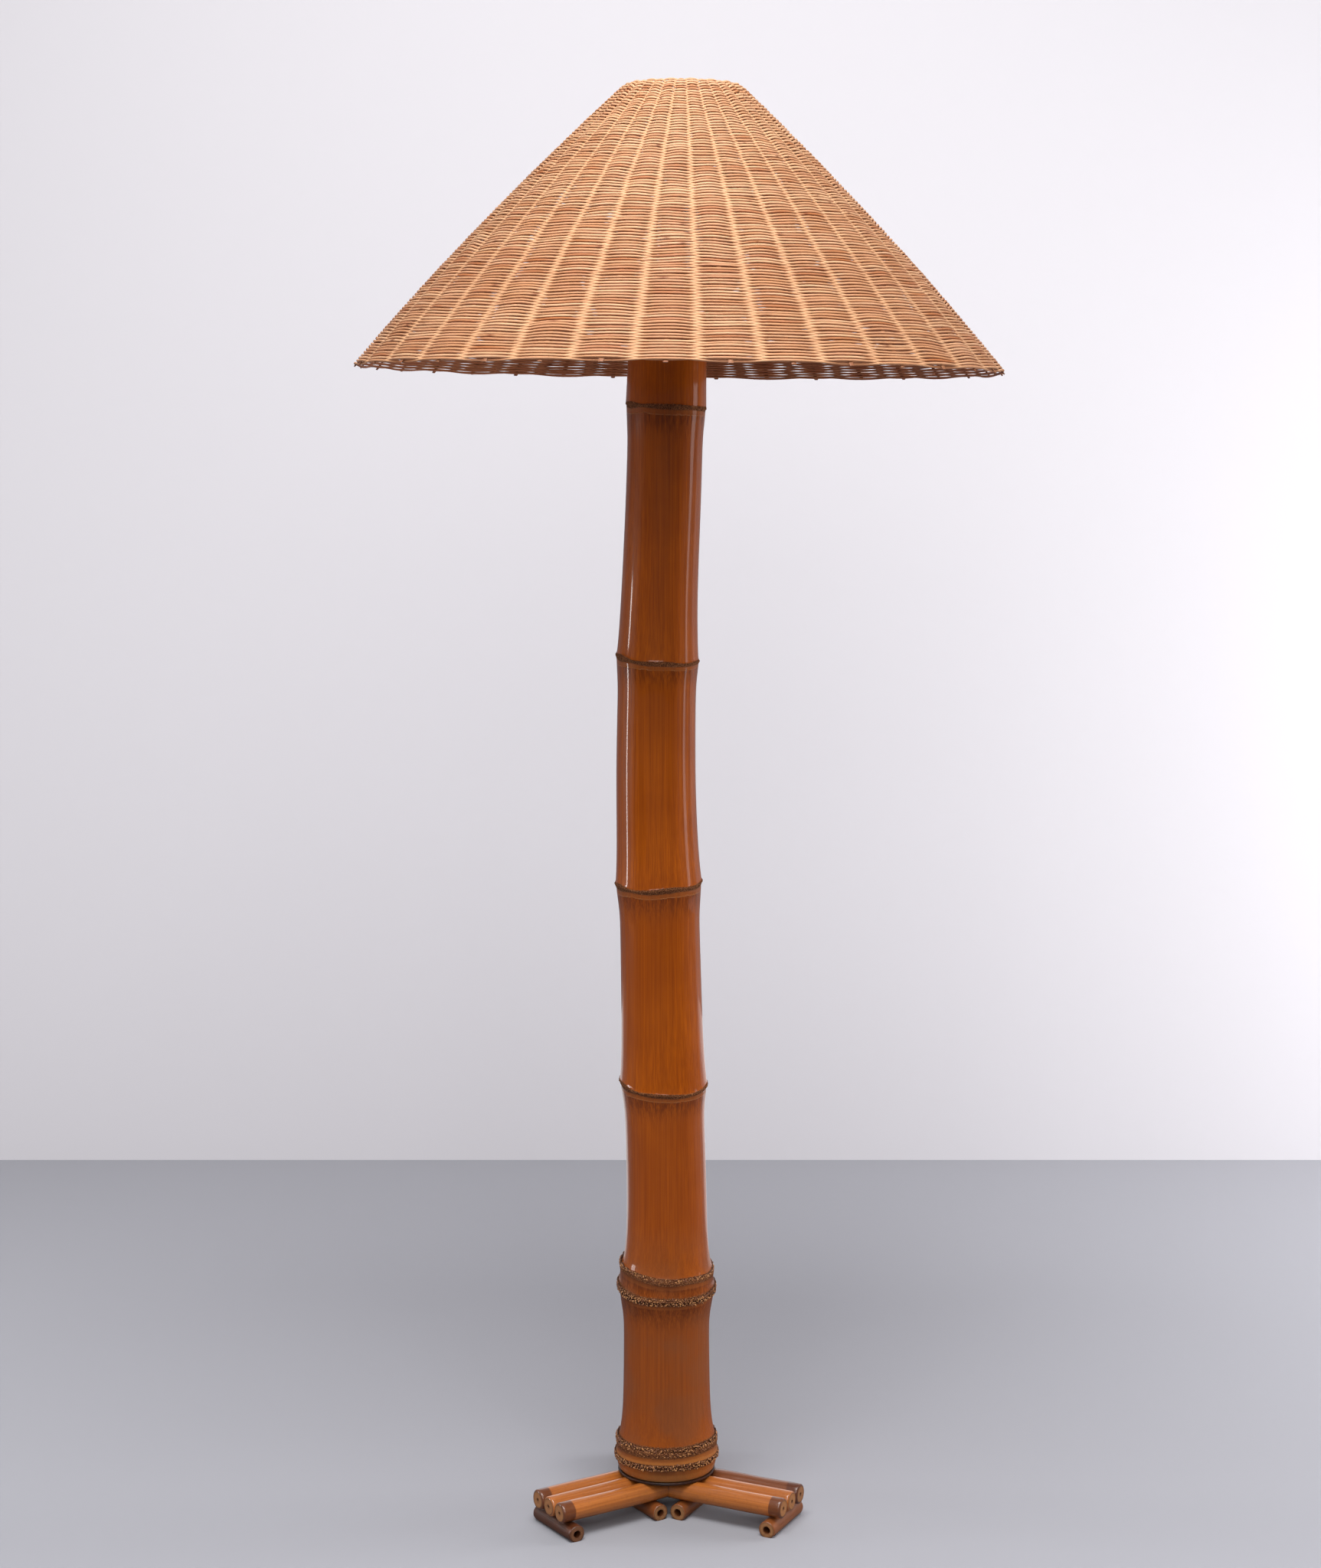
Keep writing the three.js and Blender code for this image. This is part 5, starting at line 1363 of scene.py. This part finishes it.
class LAMP_OT_disc(bpy.types.Operator):
    """Build the thin disc under the culm"""

    bl_idname = "lamp.disc"
    bl_label = "Base disc"

    def execute(self, context):
        low, high = DISC_FOOT, DISC_FOOT + DISC_THICKNESS
        outline = rounded([[0, low], [DISC_RADIUS, low], [DISC_RADIUS, high], [0, high]], 0.0008)
        surface = moved(turned(outline, 96), (BASE_SHIFT, 0, 0))
        piece("disc_surface", "root", surface, "dark_disc", ["base_disc"], SHARP)
        return {"FINISHED"}


class LAMP_OT_weave(bpy.types.Operator):
    """Wind the rattan strand round the stakes of the shade"""

    bl_idname = "lamp.weave"
    bl_label = "Woven strand"

    def execute(self, context):
        for number, surface in enumerate(weave_surfaces(context.scene.lamp_sizes, 5)):
            piece(f"weave_{number + 1}", "shade", on_fitting(surface), "rattan_strand",
                  ["shade_skin"])
        return {"FINISHED"}


class LAMP_OT_stakes(bpy.types.Operator):
    """Set the stakes of the shade"""

    bl_idname = "lamp.stakes"
    bl_label = "Stakes"

    def execute(self, context):
        surface = on_fitting(stake_surface(context.scene.lamp_sizes))
        piece("stakes", "shade", surface, "rattan_stake", ["shade_skin"], SHARP)
        return {"FINISHED"}


class LAMP_OT_lampholder(bpy.types.Operator):
    """Build the lampholder's cap, shell and switch key"""

    bl_idname = "lamp.lampholder"
    bl_label = "Lampholder"

    def execute(self, context):
        fitting("cap", "root", "brass", cap_surface(), "lampholder_cap")
        fitting("shell", "root", "brass", shell_surface(), "lampholder_shell")
        fitting("key", "switch", "black", key_surface(), "switch_key")
        return {"FINISHED"}


class LAMP_OT_bulb(bpy.types.Operator):
    """Build the bulb's glass, cap and stem"""

    bl_idname = "lamp.bulb"
    bl_label = "Bulb"

    def execute(self, context):
        fitting("glass", "bulb", "opal_glass", glass_surface(), "bulb_glass", None)
        fitting("bulb_cap", "bulb", "aluminium", bulb_cap_surface(), "bulb_cap")
        fitting("filament", "bulb", "steel", filament_surface(), "bulb_stem")
        return {"FINISHED"}


class LAMP_OT_harp(bpy.types.Operator):
    """Bend the harp and set its two locking ferrules"""

    bl_idname = "lamp.harp"
    bl_label = "Harp"

    def execute(self, context):
        fitting("harp", "harp", "brass", harp_surface(), "harp")
        for ferrule, hand in (("left_ferrule", -1), ("right_ferrule", 1)):
            fitting(ferrule, ferrule, "brass", ferrule_surface(hand), ferrule)
        return {"FINISHED"}


class LAMP_OT_carrier(bpy.types.Operator):
    """Build the shade's carrier and the finial that holds it"""

    bl_idname = "lamp.carrier"
    bl_label = "Carrier and finial"

    def execute(self, context):
        fitting("carrier", "shade", "steel", carrier_surface(), "shade_carrier")
        fitting("finial", "finial", "brass", finial_surface(), "finial")
        return {"FINISHED"}


# Stage

WALL_PLACE = 1.70
WALL_HEIGHT = 6
STAGE_HALF = 7
CAMERA_PLACE = (-0.0232, -3.400, 1.3668)
CAMERA_TILT = 0.1252
CAMERA_LENS = 62.77
SENSOR_WIDTH = 36
# Each light: its name, place, target, width and height in metres, and power in watts
LIGHTS = (
    ("overhead_softbox", (-0.1, -1.15, 3.5), (0, 0.1, 0.9), (2.2, 1.7), 132),
    ("front_softbox", (-0.3, -3.8, 2.9), (0, 0, 1.1), (2.4, 1.8), 54),
    ("left_strip", (-2.6, 0.25, 0.79), (0, 0, 0.79), (0.32, 0.86), 14),
    ("right_strip", (2.6, 0.15, 1.05), (0, 0, 1.05), (0.5, 1.3), 5),
    ("right_softbox", (2.8, 0.8, 0.8), (0.8, 1.4, 0.2), (1.4, 1.7), 62),
    ("rear_panel", (0, 0.75, 0.30), (0, 0, 0.05), (1.4, 0.42), 1.7),
)
# The kinds of rays that pass some lights by
UNSEEN = {"right_softbox": ("visible_glossy",), "rear_panel": ("visible_camera", "visible_diffuse")}


def linked(name, data):
    """A new object in the scene."""
    thing = bpy.data.objects.new(name, data)
    bpy.context.scene.collection.objects.link(thing)
    return thing


def flat_sheet(name, corners, finish):
    """A plane of one face, with its finish."""
    mesh = bpy.data.meshes.new(name)
    mesh.from_pydata(corners, [], [(0, 1, 2, 3)])
    mesh.materials.append(finish)
    linked(name, mesh)


def soft_light(name, place, target, size, power):
    """A soft rectangular light aimed at a point."""
    data = bpy.data.lights.new(name, "AREA")
    data.shape = "RECTANGLE"
    data.size, data.size_y = size
    data.energy = power
    thing = linked(name, data)
    thing.location = place
    x, y, z = np.subtract(target, place)
    thing.rotation_euler = (math.atan2(math.hypot(x, y), -z), 0, math.atan2(y, x) - math.pi / 2)
    for ray in UNSEEN.get(name, ()):
        setattr(thing, ray, False)


class LAMP_OT_stage(bpy.types.Operator):
    """Set the floor, the wall, the lights and the camera"""

    bl_idname = "lamp.stage"
    bl_label = "Stage"

    def execute(self, context):
        scene, side = context.scene, STAGE_HALF
        near, far, top = (-side, 0), (WALL_PLACE, 0), (WALL_PLACE, WALL_HEIGHT)
        for name, paint, colour, low, high in (
                ("floor", "floor_paint", (162, 162, 168), near, far),
                ("back_wall", "wall_paint", (210, 207, 211), far, top)):
            corners = [(-side, *low), (side, *low), (side, *high), (-side, *high)]
            flat_sheet(name, corners, stage_finish(paint, linear(*colour)))
        for light in LIGHTS:
            soft_light(*light)
        world = bpy.data.worlds.new("soft_room")
        world.use_nodes = True
        room = Nodes(world.node_tree)
        backdrop = world.node_tree.nodes["Background"].inputs
        backdrop["Color"].default_value = (0.93, 0.94, 1.0, 1)
        seen = room.add("LightPath")["Is Camera Ray"]
        room.fill(backdrop["Strength"], room.ranged(seen, 0.0, 1.0, 0.12, 0.8))
        scene.world = world
        data = bpy.data.cameras.new("photo_view")
        data.sensor_width = SENSOR_WIDTH
        data.sensor_fit = "AUTO"
        data.lens = CAMERA_LENS
        scene.camera = linked("photo_view", data)
        scene.camera.location = CAMERA_PLACE
        scene.camera.rotation_euler = (math.radians(90) - CAMERA_TILT, 0, 0)
        scene.view_settings.view_transform = "Standard"
        return {"FINISHED"}


OPERATORS = (
    LAMP_OT_stage, LAMP_OT_finishes, LAMP_OT_culm, LAMP_OT_root_stubs, LAMP_OT_leg_canes,
    LAMP_OT_cross_canes, LAMP_OT_disc, LAMP_OT_weave, LAMP_OT_stakes, LAMP_OT_lampholder,
    LAMP_OT_bulb, LAMP_OT_harp, LAMP_OT_carrier,
)


class LAMP_PT_build(bpy.types.Panel):
    """The lamp's operators, in order"""

    bl_idname = "LAMP_PT_build"
    bl_label = "Floor lamp"
    bl_space_type = "VIEW_3D"
    bl_region_type = "UI"
    bl_category = "Lamp"

    def draw(self, context):
        for operator in OPERATORS:
            self.layout.operator(operator.bl_idname)
        for values in (context.scene.lamp_sizes, context.scene.lamp_colours):
            for key in values.__annotations__:
                self.layout.prop(values, key)


CLASSES = (LampSizes, LampColours, *OPERATORS, LAMP_PT_build)


def register():
    """Make the classes and the scene's values known."""
    for cls in CLASSES:
        bpy.utils.register_class(cls)
    bpy.types.Scene.lamp_sizes = PointerProperty(type=LampSizes)
    bpy.types.Scene.lamp_colours = PointerProperty(type=LampColours)


def unregister():
    """Take the classes and the scene's values away again."""
    del bpy.types.Scene.lamp_colours
    del bpy.types.Scene.lamp_sizes
    for cls in reversed(CLASSES):
        bpy.utils.unregister_class(cls)


def main():
    """Build the lamp."""
    register()
    for operator in OPERATORS:
        family, name = operator.bl_idname.split(".")
        getattr(getattr(bpy.ops, family), name)()


if __name__ == "__main__":
    main()
